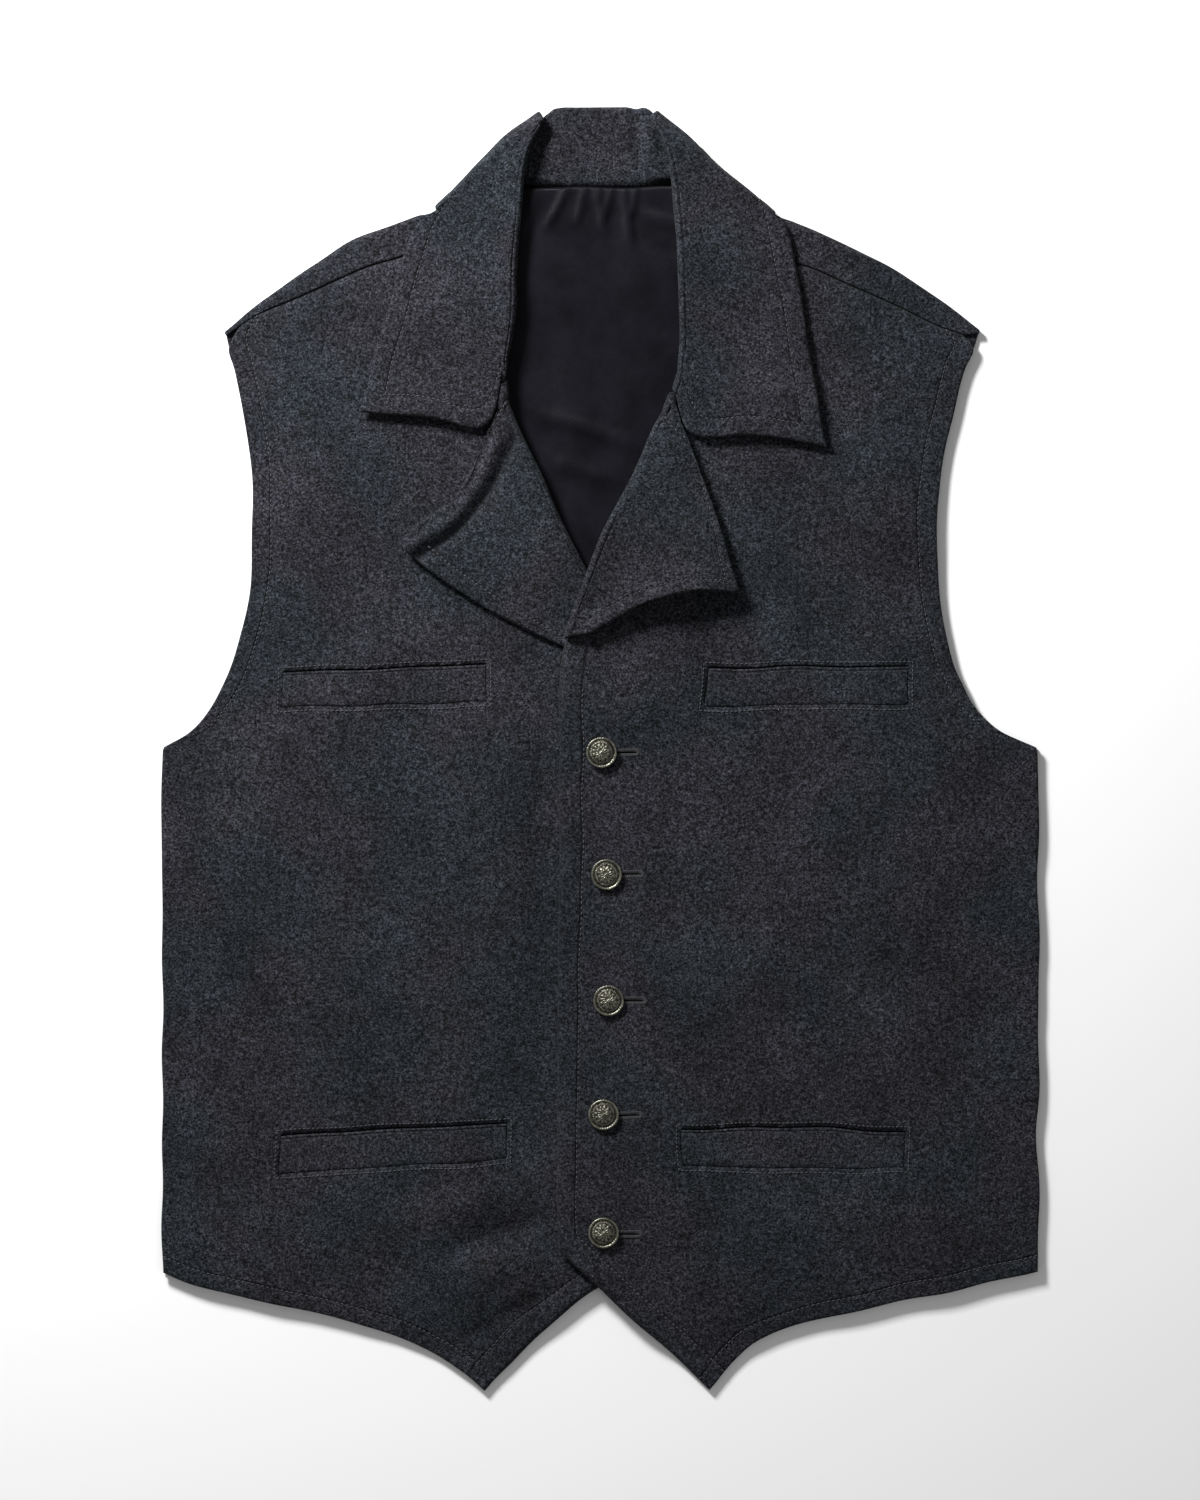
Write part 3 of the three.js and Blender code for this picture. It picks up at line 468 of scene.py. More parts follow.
def cells_around(cells):
    """How many of the four cells at each grid point are marked."""
    pad = np.pad(cells, 1).astype(int)
    return pad[:-1, :-1] + pad[1:, :-1] + pad[:-1, 1:] + pad[1:, 1:]


def shell(name, points, thickness, material, active=None, rounded=(1, 1, 1, 1), layers=None, bumps=None):
    """A closed cloth wall about a grid of middle points.

    It thins to a round rim at the edges that rounded marks: row start, row end, column start, column end.
    active marks the grid's cells that have cloth. bumps raises the outer face alone.
    """
    rows, columns = points.shape[:2]
    active = np.ones((rows - 1, columns - 1), bool) if active is None else active
    normals = grid_normals(points)
    half = np.full((rows, columns), thickness / 2)
    for distance, on in zip(edge_distances(points), rounded):
        if on:
            t = np.clip(distance / (thickness * EDGE_ROUND), 0, 1)
            half = np.minimum(half, thickness / 2 * np.sqrt(1 - (1 - t) ** 2))
    pad = np.pad(active, 1)
    around = cells_around(active)
    used = around > 0
    border = used & (around < 4)
    closed = border & (half < 1e-6)
    raise_by = half if bumps is None else half + bumps
    outer = settle(points + normals * raise_by[..., None])
    inner = settle(points - normals * half[..., None])
    top = np.full((rows, columns), -1)
    top[used] = np.arange(used.sum())
    bottom = np.full((rows, columns), -1)
    split = used & ~closed
    bottom[split] = used.sum() + np.arange(split.sum())
    bottom[closed] = top[closed]
    vertices = np.vstack([outer[used], inner[split]])
    j, i = np.nonzero(active)
    faces = np.stack([top[j, i], top[j, i + 1], top[j + 1, i + 1], top[j + 1, i]], 1).tolist()
    faces += np.stack([bottom[j, i], bottom[j + 1, i], bottom[j + 1, i + 1], bottom[j, i + 1]], 1).tolist()
    for dj, di, a, b in CELL_SIDES:
        missing = ~pad[1 + dj : rows + dj, 1 + di : columns + di] & active
        for q, p in zip(*np.nonzero(missing)):
            first, second = (q + a[0], p + a[1]), (q + b[0], p + b[1])
            ring = [top[first], top[second], bottom[second], bottom[first]]
            ring = [v for k, v in enumerate(ring) if v != ring[k - 1]]
            if len(ring) > 2:
                faces.append([int(v) for v in ring])
    values = {}
    for key, layer in (layers or {}).items():
        values[key] = np.concatenate([layer[used], layer[split]])
    return build(name, vertices, faces, material, values)


def folded_sections(sections, spacing, least_step):
    """Smooth sections between the table's: rows of roll, quarter, mid, edge and the numbers after them."""
    rolls = np.array([[*roll, *quarter, *mid, *edge] for roll, quarter, mid, edge, *_ in sections], float)
    rest = np.array([np.hstack(row[4:]) for row in sections], float)
    table = np.hstack([rolls, rest])
    outline = np.linalg.norm(np.diff(table[:, 6:8], axis=0), axis=1)
    inline = np.linalg.norm(np.diff(table[:, 0:2], axis=0), axis=1)
    knots = np.r_[0, np.cumsum(np.maximum(np.maximum(outline, inline), least_step))]
    count = int(knots[-1] / spacing)
    at = np.unique(np.r_[EDGE_STEPS, np.linspace(4, knots[-1] - 4, count), knots[-1] - EDGE_STEPS])
    return np.stack([pchip(knots, table[:, k], at) for k in range(table.shape[1])], axis=1)


def pchip(x, y, at):
    """Monotone cubic interpolation, which doesn't overshoot between the table's rows."""
    h, slope = np.diff(x), np.diff(y) / np.diff(x)
    m = np.zeros_like(y)
    same = slope[:-1] * slope[1:] > 0
    w1, w2 = 2 * h[1:] + h[:-1], h[1:] + 2 * h[:-1]
    before = np.where(same, slope[:-1], 1)
    after = np.where(same, slope[1:], 1)
    m[1:-1] = np.where(same, (w1 + w2) / (w1 / before + w2 / after), 0)
    m[0], m[-1] = slope[0], slope[-1]
    k = np.clip(np.searchsorted(x, at) - 1, 0, len(h) - 1)
    t = (at - x[k]) / h[k]
    a = (1 + 2 * t) * (1 - t) ** 2 * y[k] + t * (1 - t) ** 2 * h[k] * m[k]
    return a + t * t * (3 - 2 * t) * y[k + 1] + t * t * (t - 1) * h[k] * m[k + 1]


ROLL_ANGLES = np.radians(np.linspace(-90, 90, 13))
LEG_POINTS = 6
LEAF_START = LEG_POINTS + len(ROLL_ANGLES)
CAD_LEAF_STEPS = 7
FAR = 60  # added to a distance where its edge doesn't count


def section_plan(row, fractions):
    """Plan points across one section, at fractions of its spline's parameter."""
    p = row[:8].reshape(4, 2)
    padded = np.vstack([p[:1], p, p[-1:]])
    s = np.clip(np.asarray(fractions, float) * 3, 0, 3)
    k = np.minimum(s.astype(int), 2)
    t = (s - k)[:, None]
    return cubic(*(padded[k + n] for n in range(4)), t)


def section_direction(row):
    start, ahead = section_plan(row, [0, 1 / CAD_LEAF_STEPS])
    step = ahead - start
    return start, step / np.linalg.norm(step)


def fold_section(row, side, centre, turn, leaf_at, leg_at, leg_end, leaf_fractions):
    """Points along a folded section: the leg up to the roll, round it, and the leaf out to its edge."""
    start, ahead = section_direction(row)
    outward = np.array([-ahead[1], ahead[0]]) * side
    leaf, leg = float(leaf_at(start[None], np.zeros(1))[0]), float(leg_at(start[None])[0])
    radius = (leaf - leg) / 2
    t = (np.arange(LEG_POINTS) / LEG_POINTS)[:, None]
    low = mix(np.asarray(leg_end)[None], start[None], t)
    arc = start + ahead * (radius * (1 - np.cos(ROLL_ANGLES)))[:, None]
    leaf_plan = section_plan(row, leaf_fractions)
    plan = np.vstack([low, arc, leaf_plan])
    offset = np.concatenate([
        leg_at(low),
        (leaf + leg) / 2 + radius * np.sin(ROLL_ANGLES),
        leaf_at(leaf_plan, leaf_fractions),
    ])
    drawn_in = np.ones(len(offset))
    outer_leaf = ease(1.4 * np.asarray(leaf_fractions) - 0.2)
    drawn_in[-len(leaf_fractions):] = 1 - 0.6 * math.sin(turn) * outer_leaf
    xy = plan + outward * (math.sin(turn) * offset * drawn_in)[:, None]
    return np.column_stack([xy, centre + math.cos(turn) * offset])


def even_leaf(sections, spacing, longest):
    """Leaf stations with the same count on every section."""
    count = max(4, int(longest / spacing))
    out = []
    for row in sections:
        line = section_plan(row, np.linspace(0, 1, 20))
        length = np.linalg.norm(np.diff(line, axis=0), axis=1).sum()
        rim = EDGE_STEPS[::-1] / length
        out.append(np.r_[np.linspace(3.6 / length, 1 - 4.4 / length, count), 1 - rim])
    return out


def side_edge(armhole, side, v):
    return chain([([(side * SIDE, HEM_SIDE_Y), (side * SIDE, UNDERARM_Y)], 12), (armhole, 11)], v)


def beside(points, distance):
    """Plan points pushed sideways, to the right of the line's direction."""
    p = np.array(points, float)
    step = np.zeros_like(p)
    step[1:-1] = p[2:] - p[:-2]
    step[0], step[-1] = p[1] - p[0], p[-1] - p[-2]
    step /= np.linalg.norm(step, axis=1, keepdims=True)
    return p + np.column_stack([step[:, 1], -step[:, 0]]) * distance


def lapel_rows(sections):
    return np.array([np.hstack(row) for row in sections], float)


def turned_end(row):
    start, ahead = section_direction(row)
    return start + ahead * LAPEL_TURN


def front_plan(side, hem, point, edge, lapel, collar, seam, armhole, u, v):
    """A front's plan grid, its rows from left to right and from the hem up."""
    turned = [tuple(turned_end(row)) for row in lapel_rows(lapel)[::-1]]
    necks = [row[4] for row in collar if row[5] == 0 and row[4][1] < seam[-1][1] - 4]
    opening = [tuple(p) for p in beside(turned + necks, side * HIDDEN_GAP)]
    inner = chain([(point, 4), ([*edge, opening[0]], 8), ([*opening, seam[-1]], 11)], v)
    outer = side_edge([*armhole[:-1], seam[0]], side, v)
    low, high = (along(smooth_line(line[::-side]), u) for line in (hem, seam))
    left, right = (inner, outer) if side > 0 else (outer, inner)
    return coons(low, high, left, right, u, v)


def lift_plan(plan, heights):
    return np.dstack([plan, heights])


PLANS = {
    "right": dict(side=-1, hem=HEM_RIGHT, point=POINT_RIGHT, edge=EDGE_UNDER, lapel=LAPEL_RIGHT,
                  collar=COLLAR_RIGHT, seam=SEAM_RIGHT, armhole=ARMHOLE_RIGHT),
    "left": dict(side=1, hem=HEM_LEFT, point=POINT_LEFT, edge=EDGE_OVER, lapel=LAPEL_LEFT,
                 collar=COLLAR_LEFT, seam=SEAM_LEFT, armhole=ARMHOLE_LEFT),
}
REACH = 10
SOFTEN = 22
LOFT = 0.5
pile = Pile()


def loft(x, y):
    """Air between the layers, none at the side seams and armholes."""
    inset = np.minimum(SIDE - np.abs(x), 215 - np.abs(x) + 400 * ease((20 - y) / 40))
    return LOFT * ease(inset / 60)


def collar_behind():
    """The collar's fall under the back."""
    sections = folded_sections(COLLAR_RIGHT + COLLAR_LEFT[::-1], 3, 3)
    plan = np.array([section_plan(row, np.linspace(0, 1, 40)) for row in sections if row[-1] > 179.9])
    return lift_plan(plan, np.full(plan.shape[:2], FOLD_HEIGHT - FALL_RADIUS))


def make_back(material):
    inset = SHOULDER_RADIUS + WOOL / 2
    right = beside(SHOULDER_RIGHT, inset)
    left = beside(SHOULDER_LEFT[::-1], inset)
    neck = [tuple(right[-1]), *BACK_NECK[1:-1], tuple(left[0])]
    v = stations(600, 3.4, high=False)
    u = stations(526, 3.4)
    share = 12 / 32  # of the upper edge, for each shoulder
    u = np.unique(np.r_[u, share, 1 - share])
    low = along(smooth_line([(-SIDE, HEM_SIDE_Y), (SIDE, HEM_SIDE_Y)]), u)
    high = chain([(right, 12), (neck, 8), (left, 12)], u)
    plan = coons(
        low, high,
        side_edge([*ARMHOLE_RIGHT[:-1], tuple(right[0])], -1, v),
        side_edge([*ARMHOLE_LEFT[:-1], tuple(left[-1])], 1, v), u, v,
    )
    over_fall = pile.cover(20, 16)
    x, y = plan[..., 0], plan[..., 1]
    flat = lift_plan(plan, WOOL / 2 + over_fall(x, y) * (1 + SEAM_GAP / COLLAR_CLOTH))
    pile.lay(flat, WOOL / 2)
    return {"flat": flat, "u": u, "share": share, "right": right, "left": left, "material": material}


def finish_back(back, levels):
    """Adds the rows that wrap forward over the shoulders, now that the fronts' heights are known."""
    flat, u, share = back["flat"], back["u"], back["share"]
    angles = np.radians(np.linspace(-67.5, 90, 8))
    forward = np.r_[np.linspace(0.12, 0.86, 8), 0.9, 0.94, 0.97, 1.0]
    rows = np.repeat(flat[-1:], len(angles) + len(forward), axis=0)
    on = np.zeros(len(u), bool)
    for side, inside, seam, line in (
        ("right", u <= share, SEAM_RIGHT, back["right"]),
        ("left", u >= 1 - share, SEAM_LEFT[::-1], back["left"]),
    ):
        on |= inside
        local = u[inside] / share if side == "right" else (u[inside] - 1 + share) / share
        goal = along(smooth_line(seam), local)
        dense = smooth_line(line)
        step = along(dense, np.clip(local + 0.02, 0, 1)) - along(dense, np.clip(local - 0.02, 0, 1))
        outward = np.column_stack([-step[:, 1], step[:, 0]]) / np.linalg.norm(step, axis=1, keepdims=True)
        base = flat[-1, inside]
        top = levels[side](goal[:, 0], goal[:, 1])
        radius = (top - base[:, 2]) / 2
        goal = goal + outward * (SEAM_GAP + 0.1)
        for k, angle in enumerate(angles):
            xy = base[:, :2] + outward * (radius * math.cos(angle))[:, None]
            rows[k, inside] = np.column_stack([xy, (top + base[:, 2]) / 2 + radius * math.sin(angle)])
        for k, t in enumerate(forward):
            rows[len(angles) + k, inside] = np.column_stack([mix(base[:, :2], goal, t), top])
    points = np.vstack([flat, rows])
    active = np.ones((len(points) - 1, len(u) - 1), bool)
    active[len(flat) - 1 :, :] = (on[1:] & on[:-1])[None]
    panels.lay(rows[:, on], WOOL / 2)
    return shell("back_panel_cloth", points, WOOL, back["material"], active)


def make_lining(material):
    rows = np.array(LINING_ROWS, float)
    knots = np.r_[0, np.cumsum(np.diff(rows[:, 0]))]
    at = np.linspace(0, knots[-1], 150)
    y, left, right = (pchip(knots, rows[:, k], at) for k in range(3))
    across = np.linspace(0, 1, 74)
    plan = np.dstack([mix(left[:, None], right[:, None], across), np.repeat(y[:, None], 74, axis=1)])
    over = pile.cover(8, 8)
    x, y = plan[..., 0], plan[..., 1]
    heights = over(x, y) + 0.5 + SATIN / 2 + np.maximum(creases("lining", x, y), -0.3)
    points = lift_plan(plan, heights)
    pile.lay(points, SATIN / 2)
    return shell("back_lining_satin", points, SATIN, material, rounded=(1, 0, 1, 1))


def leg_grid(starts, ends, level):
    t = np.linspace(0, 1, 8)[None, :, None]
    plan = mix(np.array(starts)[:, None], np.array(ends)[:, None], t)
    return lift_plan(plan, level(plan[..., 0], plan[..., 1]))


def leaf_edge(grid):
    """How far each point is in from a leaf's outer edge and ends."""
    _, right, low, high = edge_distances(grid)
    return np.minimum(right, np.minimum(low, high))


def leaf_bumps(grid):
    inset = leaf_edge(grid)
    swell = LEAF_PUFF * ease((COLLAR_LINE - inset) / 2.5) + 0.25 * ripple(grid[..., 0], grid[..., 1])
    return swell * ease(inset / 2)


def make_lapel(name, sections, side, level, material):
    rows = folded_sections(sections, GRID, 3)
    leg_ends = [turned_end(row) for row in rows]
    pile.lay(leg_grid(rows[:, :2], leg_ends, level), LAPEL_CLOTH / 2)
    top = pile.cover(8, 16)

    def leaf_level(p):
        return top(p[:, 0], p[:, 1]) + LAYER_GAP + LAPEL_CLOTH / 2

    def leg_at(p):
        return level(p[:, 0], p[:, 1])

    grid = []
    for row, leg_end, fractions in zip(rows, leg_ends, even_leaf(rows, GRID, LAPEL_LEAF)):
        lift, puff = row[8], row[9]
        start = row[None, :2]
        bulge = max(0.0, leg_at(start)[0] + 2 * ROLL_RADIUS - leaf_level(start)[0])

        def leaf_at(p, t):
            level_here = leaf_level(p)
            risen = level_here + lift * ease(2 * np.asarray(t) - 1)
            return np.maximum(risen, level_here + puff * bulge * (1 - ease(2.5 * np.asarray(t))))

        grid.append(fold_section(row, side, 0.0, 0.0, leaf_at, leg_at, leg_end, fractions))
    grid = np.array(grid)[::-side]
    pile.lay(grid[:, LEAF_START - 1 :], LAPEL_CLOTH / 2)
    bumps = leaf_bumps(grid)
    layers = {"from_edge": leaf_edge(grid)}
    if side < 0:
        edge = grid[:, -1, :2]
        edge = edge[edge[:, 1] > RIM_FOOT]
        from_rim = np.linalg.norm(grid[:, :, None, :2] - edge, axis=3).min(axis=2)
        from_rim = from_rim + FAR * (np.arange(grid.shape[1]) < LEAF_START)
        rim = hump(from_rim, *RIM_CREST) + hump(from_rim, *RIM_TROUGH)
        bumps = bumps + rim * ease(leaf_edge(grid) / 3)
        # the wool material paints shadow into the rim's trough at this distance
        layers["from_rim"] = from_rim
    return shell(name, grid, LAPEL_CLOTH, material, layers=layers, bumps=bumps), grid


def make_collar(levels, material):
    grids = []
    for name, table, side in (("right", COLLAR_RIGHT, -1), ("left", COLLAR_LEFT, 1)):
        level = levels[name]
        rows = folded_sections(table, GRID, 3)
        flat = rows[rows[:, -1] < 0.1]
        panels.lay(leg_grid(flat[:, :2], flat[:, 8:10], level), COLLAR_CLOTH / 2)
        top = panels.cover(8, 16)
        grid = []
        for row, fractions in zip(rows, even_leaf(rows, GRID, COLLAR_LEAF)):
            turn = math.radians(row[-1])
            turned = float(ease(row[-1] / 20))
            roll_height = max(STAND_RADIUS, level(row[:1], row[1:2])[0] - FOLD_HEIGHT + 2 * ROLL_RADIUS)

            def leaf_at(p, t):
                here = top(p[:, 0], p[:, 1]) + LAYER_GAP + COLLAR_CLOTH / 2 - FOLD_HEIGHT
                low = ease((232 - row[7]) / 26) * (1 - turned)
                here = here + COLLAR_LIFT * low * ease(1.3 * np.asarray(t) - 0.1)
                risen = np.maximum(here, mix(roll_height, here, ease(2 * np.asarray(t))))
                return mix(risen, FALL_RADIUS, turned)

            def leg_at(p):
                return mix(level(p[:, 0], p[:, 1]) - FOLD_HEIGHT, STAND_RADIUS, turned)

            grid.append(fold_section(row, side, FOLD_HEIGHT, turn, leaf_at, leg_at, row[8:10], fractions))
        grids.append(np.array(grid))
    whole = np.vstack([grids[1], grids[0][::-1]])
    on_stand = (np.arange(whole.shape[1]) <= LEG_POINTS + 8)[None] & (whole[..., 1] > 336)
    bumps = leaf_bumps(whole) * (whole[..., 2] > 2)
    bumps = bumps + creases("collar", whole[..., 0], whole[..., 1]) * on_stand
    layers = {"from_edge": leaf_edge(whole)}
    return shell("collar_cloth", whole, COLLAR_CLOTH, material, layers=layers, bumps=bumps), whole


def inside_ring(x, y, ring):
    inside = np.zeros(x.shape, bool)
    for (x0, y0), (x1, y1) in zip(ring, np.roll(ring, -1, axis=0)):
        if y0 != y1:
            inside ^= ((y0 > y) != (y1 > y)) & (x < x0 + (y - y0) * (x1 - x0) / (y1 - y0))
    return inside


def nearest_on_ring(points, ring):
    """The nearest point of a closed line to each point."""
    a, b = ring, np.roll(ring, -1, axis=0)
    step = b - a
    t = np.einsum("pks,ks->pk", points[:, None] - a, step) / np.maximum((step**2).sum(1), 1e-9)
    near = a + np.clip(t, 0, 1)[..., None] * step
    best = np.linalg.norm(near - points[:, None], axis=2).argmin(1)
    return near[np.arange(len(points)), best]


def cut_window(plan, active, ring, corners):
    """Leaves out the grid's cells inside a closed line, and moves the points beside them onto it."""
    centres = (plan[:-1, :-1] + plan[1:, :-1] + plan[:-1, 1:] + plan[1:, 1:]) / 4
    cut = inside_ring(centres[..., 0], centres[..., 1], ring)
    active &= ~cut
    touching = cells_around(cut)
    row, column = np.nonzero((touching > 0) & (touching < 4))
    moved = nearest_on_ring(plan[row, column], ring)
    for corner in corners:
        moved[np.linalg.norm(plan[row, column] - corner, axis=1).argmin()] = corner
    plan[row, column] = moved


def welt_corners(name, margin=0.0, above=0.0):
    """The four corners of a welt: mouth left, mouth right, bottom right, bottom left."""
    _, mouth, height, slant = WELTS[name]
    (x0, y0), (x1, y1) = mouth[0], mouth[-1]
    return np.array([
        (x0 - margin, y0 + above), (x1 + margin, y1 + above),
        (x1 + margin, y1 - height - margin), (x0 + slant - margin, y0 - height - margin),
    ])


def welt_ring(name, margin=0.0, above=0.0):
    corners = welt_corners(name, margin, above)
    mouth = [tuple(corners[0]), *[(x, y + above) for x, y in WELTS[name][1][1:-1]], tuple(corners[1])]
    return np.vstack([along(smooth_line(mouth), np.linspace(0, 1, MOUTH_POINTS)), corners[2:]])


def hole_ring(x, y, grow=0.0, count=10):
    radius = BUTTONHOLE_WIDTH / 2 + grow
    far = x - BUTTONHOLE_WIDTH / 4 + BUTTONHOLE_LENGTH
    angles = np.linspace(-math.pi / 2, math.pi / 2, count)
    right = np.column_stack([far + radius * np.cos(angles), y + radius * np.sin(angles)])
    left = np.column_stack([x - radius * np.cos(angles), y - radius * np.sin(angles)])
    return np.vstack([right, left])


def make_front(name, cover, material):
    """One front, with its windows: its object, middle surface, height, and distances in from its edges."""
    side = PLANS[name]["side"]
    v = stations(640, GRID)
    u = stations(290, GRID)
    if name == "left":
        u = 1 - u[::-1]
        near_edge = np.r_[np.arange(-2.5, 27, 1.2) + 25.5, np.arange(12, 16.2, 0.8)] / 288.5
        u = np.unique(np.r_[u, near_edge])
        fine = np.linspace(0, 1, 900)
        trial = front_plan(**PLANS[name], u=u, v=fine)
        column = np.argmin(np.abs(trial[350, :, 0] - 12))
        heights = trial[:, column, 1]
        near_holes = [y + np.arange(-3.0, 3.1, 0.5) for _, y in BUTTON_PLACES]
        v = np.unique(np.r_[v, fine[np.searchsorted(heights, np.concatenate(near_holes))]])
    plan = front_plan(**PLANS[name], u=u, v=v)
    active = np.ones((len(v) - 1, len(u) - 1), bool)
    for welt, (front, *_) in WELTS.items():
        if front == name:
            cut_window(plan, active, welt_ring(welt, 0, MOUTH_GAP), welt_corners(welt, 0, MOUTH_GAP))
    if name == "left":
        for x, y in BUTTON_PLACES:
            cut_window(plan, active, hole_ring(x, y), [])

    def level(x, y):
        return cover(x, y) + LAYER_GAP + WOOL / 2 + loft(x, y) + creases(name, x, y)

    points = lift_plan(plan, level(plan[..., 0], plan[..., 1]))
    pile.lay(points, WOOL / 2)
    panels.lay(points, WOOL / 2)
    left, right, low, high = edge_distances(points)
    inner, outer = (left, right) if side > 0 else (right, left)
    armhole = outer + FAR * ease((UNDERARM_Y + 12 - points[..., 1]) / 24)
    band = np.maximum(ease((FRONT_LINE - inner) / 2), ease((HEM_LINE - low) / 2))
    band = np.maximum(band, ease((ARMHOLE_LINE - armhole) / 2))
    bumps = HEM_PUFF * band + NAP * ripple(points[..., 0], points[..., 1])
    layers = {"from_front": inner, "from_hem": low, "from_armhole": armhole, "from_seam": high}
    bumps = bumps * ease(inner / 2) - SEAM_SINK * ease(1 - high / 5)
    obj = shell(f"front_{name}_cloth", points, WOOL, material, active, layers=layers, bumps=bumps)
    return {"object": obj, "points": points, "level": level, "inner": inner, "armhole": armhole, "low": low}


def make_welt(name, level, material):
    corners = welt_corners(name)
    mouth = [tuple(corners[0]), *WELTS[name][1][1:-1], tuple(corners[1])]
    u, v = stations(130, 2.2), stations(22, 1.6)
    top = along(smooth_line(mouth), u)
    bottom = mix(corners[3], corners[2], u[:, None])
    plan = mix(bottom[None], top[None], v[:, None, None])
    x, y = plan[..., 0], plan[..., 1]
    left, right, down, up = edge_distances(plan)
    inset = np.minimum(np.minimum(up, down), np.minimum(left, right))
    points = lift_plan(plan, level(x, y) + WELT_PROUD)
    bumps = NAP * ripple(x, y) + WELT_PUFF * ease(inset / 4)
    return shell(f"{name}_cloth", points, WOOL, material, layers={"from_mouth": up}, bumps=bumps)


def offset_line(points, distances, offset, lift, keep=None):
    """The line on a surface where a distance that grows along its rows, or falls, has a given value."""
    line = []
    normals = grid_normals(points)
    for row, distance, normal in zip(points, distances, normals):
        way = 1 if distance[0] < distance[-1] else -1
        raised = (row + normal * lift)[::way]
        line.append([np.interp(offset, distance[::way], raised[:, k]) for k in range(3)])
    line = np.array(line)
    return line if keep is None else line[keep(line[:, 0], line[:, 1])]


class Threads:
    """Stitches gathered into one mesh: each a short round thread that dips into the cloth at both ends."""

    SIDES = 5
    UP = np.array([0.0, 0.0, 1.0])
    # Along the stitch, width, rise
    RINGS = (
        (-0.5, 0.35, -0.35), (-0.38, 0.85, 0.02), (-0.15, 1.0, 0.12),
        (0.15, 1.0, 0.12), (0.38, 0.85, 0.02), (0.5, 0.35, -0.35),
    )

    def __init__(self):
        self.vertices = []
        self.faces = []
        self.count = 0

    def stitch(self, start, end, radius):
        ahead = end - start
        across = np.cross(ahead, self.UP)
        across /= max(np.linalg.norm(across), 1e-9)
        up = np.cross(across, ahead)
        up /= max(np.linalg.norm(up), 1e-9)
        angles = np.arange(self.SIDES) * 2 * math.pi / self.SIDES
        for s, width, rise in self.RINGS:
            centre = (start + end) / 2 + ahead * s + up * rise
            ring = np.outer(np.cos(angles), across) + np.outer(np.sin(angles), up)
            self.vertices.append(centre + ring * radius * width)
        n, base = self.SIDES, self.count
        for k in range(len(self.RINGS) - 1):
            for i in range(n):
                a, b = base + k * n + i, base + k * n + (i + 1) % n
                self.faces.append((a, b, b + n, a + n))
        self.faces.append(tuple(range(base + n - 1, base - 1, -1)))
        self.faces.append(tuple(range(base + (len(self.RINGS) - 1) * n, base + len(self.RINGS) * n)))
        self.count += n * len(self.RINGS)

    def run(self, line, pitch=STITCH_PITCH):
        """Stitches along a line, a little uneven."""
        line = np.asarray(line)
        length = np.linalg.norm(np.diff(line, axis=0), axis=1).sum()
        number = max(1, round(length / pitch))
        at = (np.arange(number) + 0.5) / number
        half = 0.5 * STITCH_SHARE / number
        jitter = RNG.normal(0, 0.05, number) * half
        starts, ends = along(line, at - half + jitter), along(line, at + half + jitter)
        for start, end in zip(settle(starts), settle(ends)):
            self.stitch(start, end, STITCH_RADIUS)

    def make(self, name, material):
        return build(name, np.vstack(self.vertices), self.faces, material)


def button_dome(r):
    """Height of the button's smooth face, without its relief."""
    across = r / (BUTTON_RADIUS - RIM_WIDTH)
    return BUTTON_RIM - 0.25 + (BUTTON_DOME - 0.5 - BUTTON_RIM) * np.clip(1 - across**2, 0, 1)


def button_face(r, angle):
    """Height of the button's face: a rosette of twelve petals in a beaded ring inside a roped rim."""
    petals = 0.5 + 0.5 * np.cos(12 * angle)
    outer_petals = 0.5 + 0.5 * np.cos(12 * angle + math.pi)
    beads = 0.5 + 0.5 * np.cos(40 * angle)
    rope = 0.5 + 0.5 * np.cos(36 * angle + 2.5 * (r - BUTTON_RADIUS))
    height = button_dome(r) + hump(r, *ROSETTE_HEART) + hump(r, *ROSETTE_PETALS) * petals**0.7
    height = height + hump(r, *ROSETTE_OUTER) * outer_petals
    height = height + hump(r, *BEADED_RING) * beads
    rim = np.clip(1 - ((r - (BUTTON_RADIUS - RIM_WIDTH / 2)) / (RIM_WIDTH * 0.62)) ** 2, 0, 1)
    return height + (RIM_HEIGHT + ROPE_HEIGHT * rope) * np.sqrt(rim)


def make_button(name, x, y, seat, shank, turn, material):
    """A shank button standing on the cloth, its face towards the camera."""
    edge = BUTTON_RADIUS
    radii = np.r_[np.linspace(0.05, edge - 0.3, 46), edge - 0.12, edge]
    angles = np.linspace(0, 2 * math.pi, 160, endpoint=False)
    rr, aa = np.meshgrid(radii, angles, indexing="ij")
    face = button_face(rr, aa + turn)
    face[-1] = BUTTON_RIM - 0.1
    wear = RNG.normal(0, 1, face.shape)
    for _ in range(6):
        beside_it = [np.roll(wear, shift, axis) for axis in (0, 1) for shift in (1, -1)]
        wear = sum(beside_it, wear) / 5
    face = face + BUTTON_WEAR * wear / wear.std()
    under = [(edge, BUTTON_RIM * 0.4), (edge - 1, 0)]
    below = [*under, (SHANK_RADIUS, 0), (SHANK_RADIUS, -shank), (0.05, -shank)]
    n = len(angles)
    profile = [*zip(radii, face), *[(r, np.full(n, z)) for r, z in below]]
    rings = [np.column_stack([r * np.cos(angles), r * np.sin(angles), z]) for r, z in profile]
    vertices = np.vstack(rings) + [x, y, seat]
    faces = []
    for k in range(len(rings) - 1):
        for i in range(n):
            a, b = k * n + i, k * n + (i + 1) % n
            faces.append((a, a + n, b + n, b))
    faces.append(tuple(range(n)))
    faces.append(tuple(range(len(rings) * n - 1, (len(rings) - 1) * n - 1, -1)))
    relief = np.concatenate([(face - button_dome(rr)).ravel(), np.zeros(len(below) * n)])
    return build(name, vertices, faces, material, {"relief": relief})


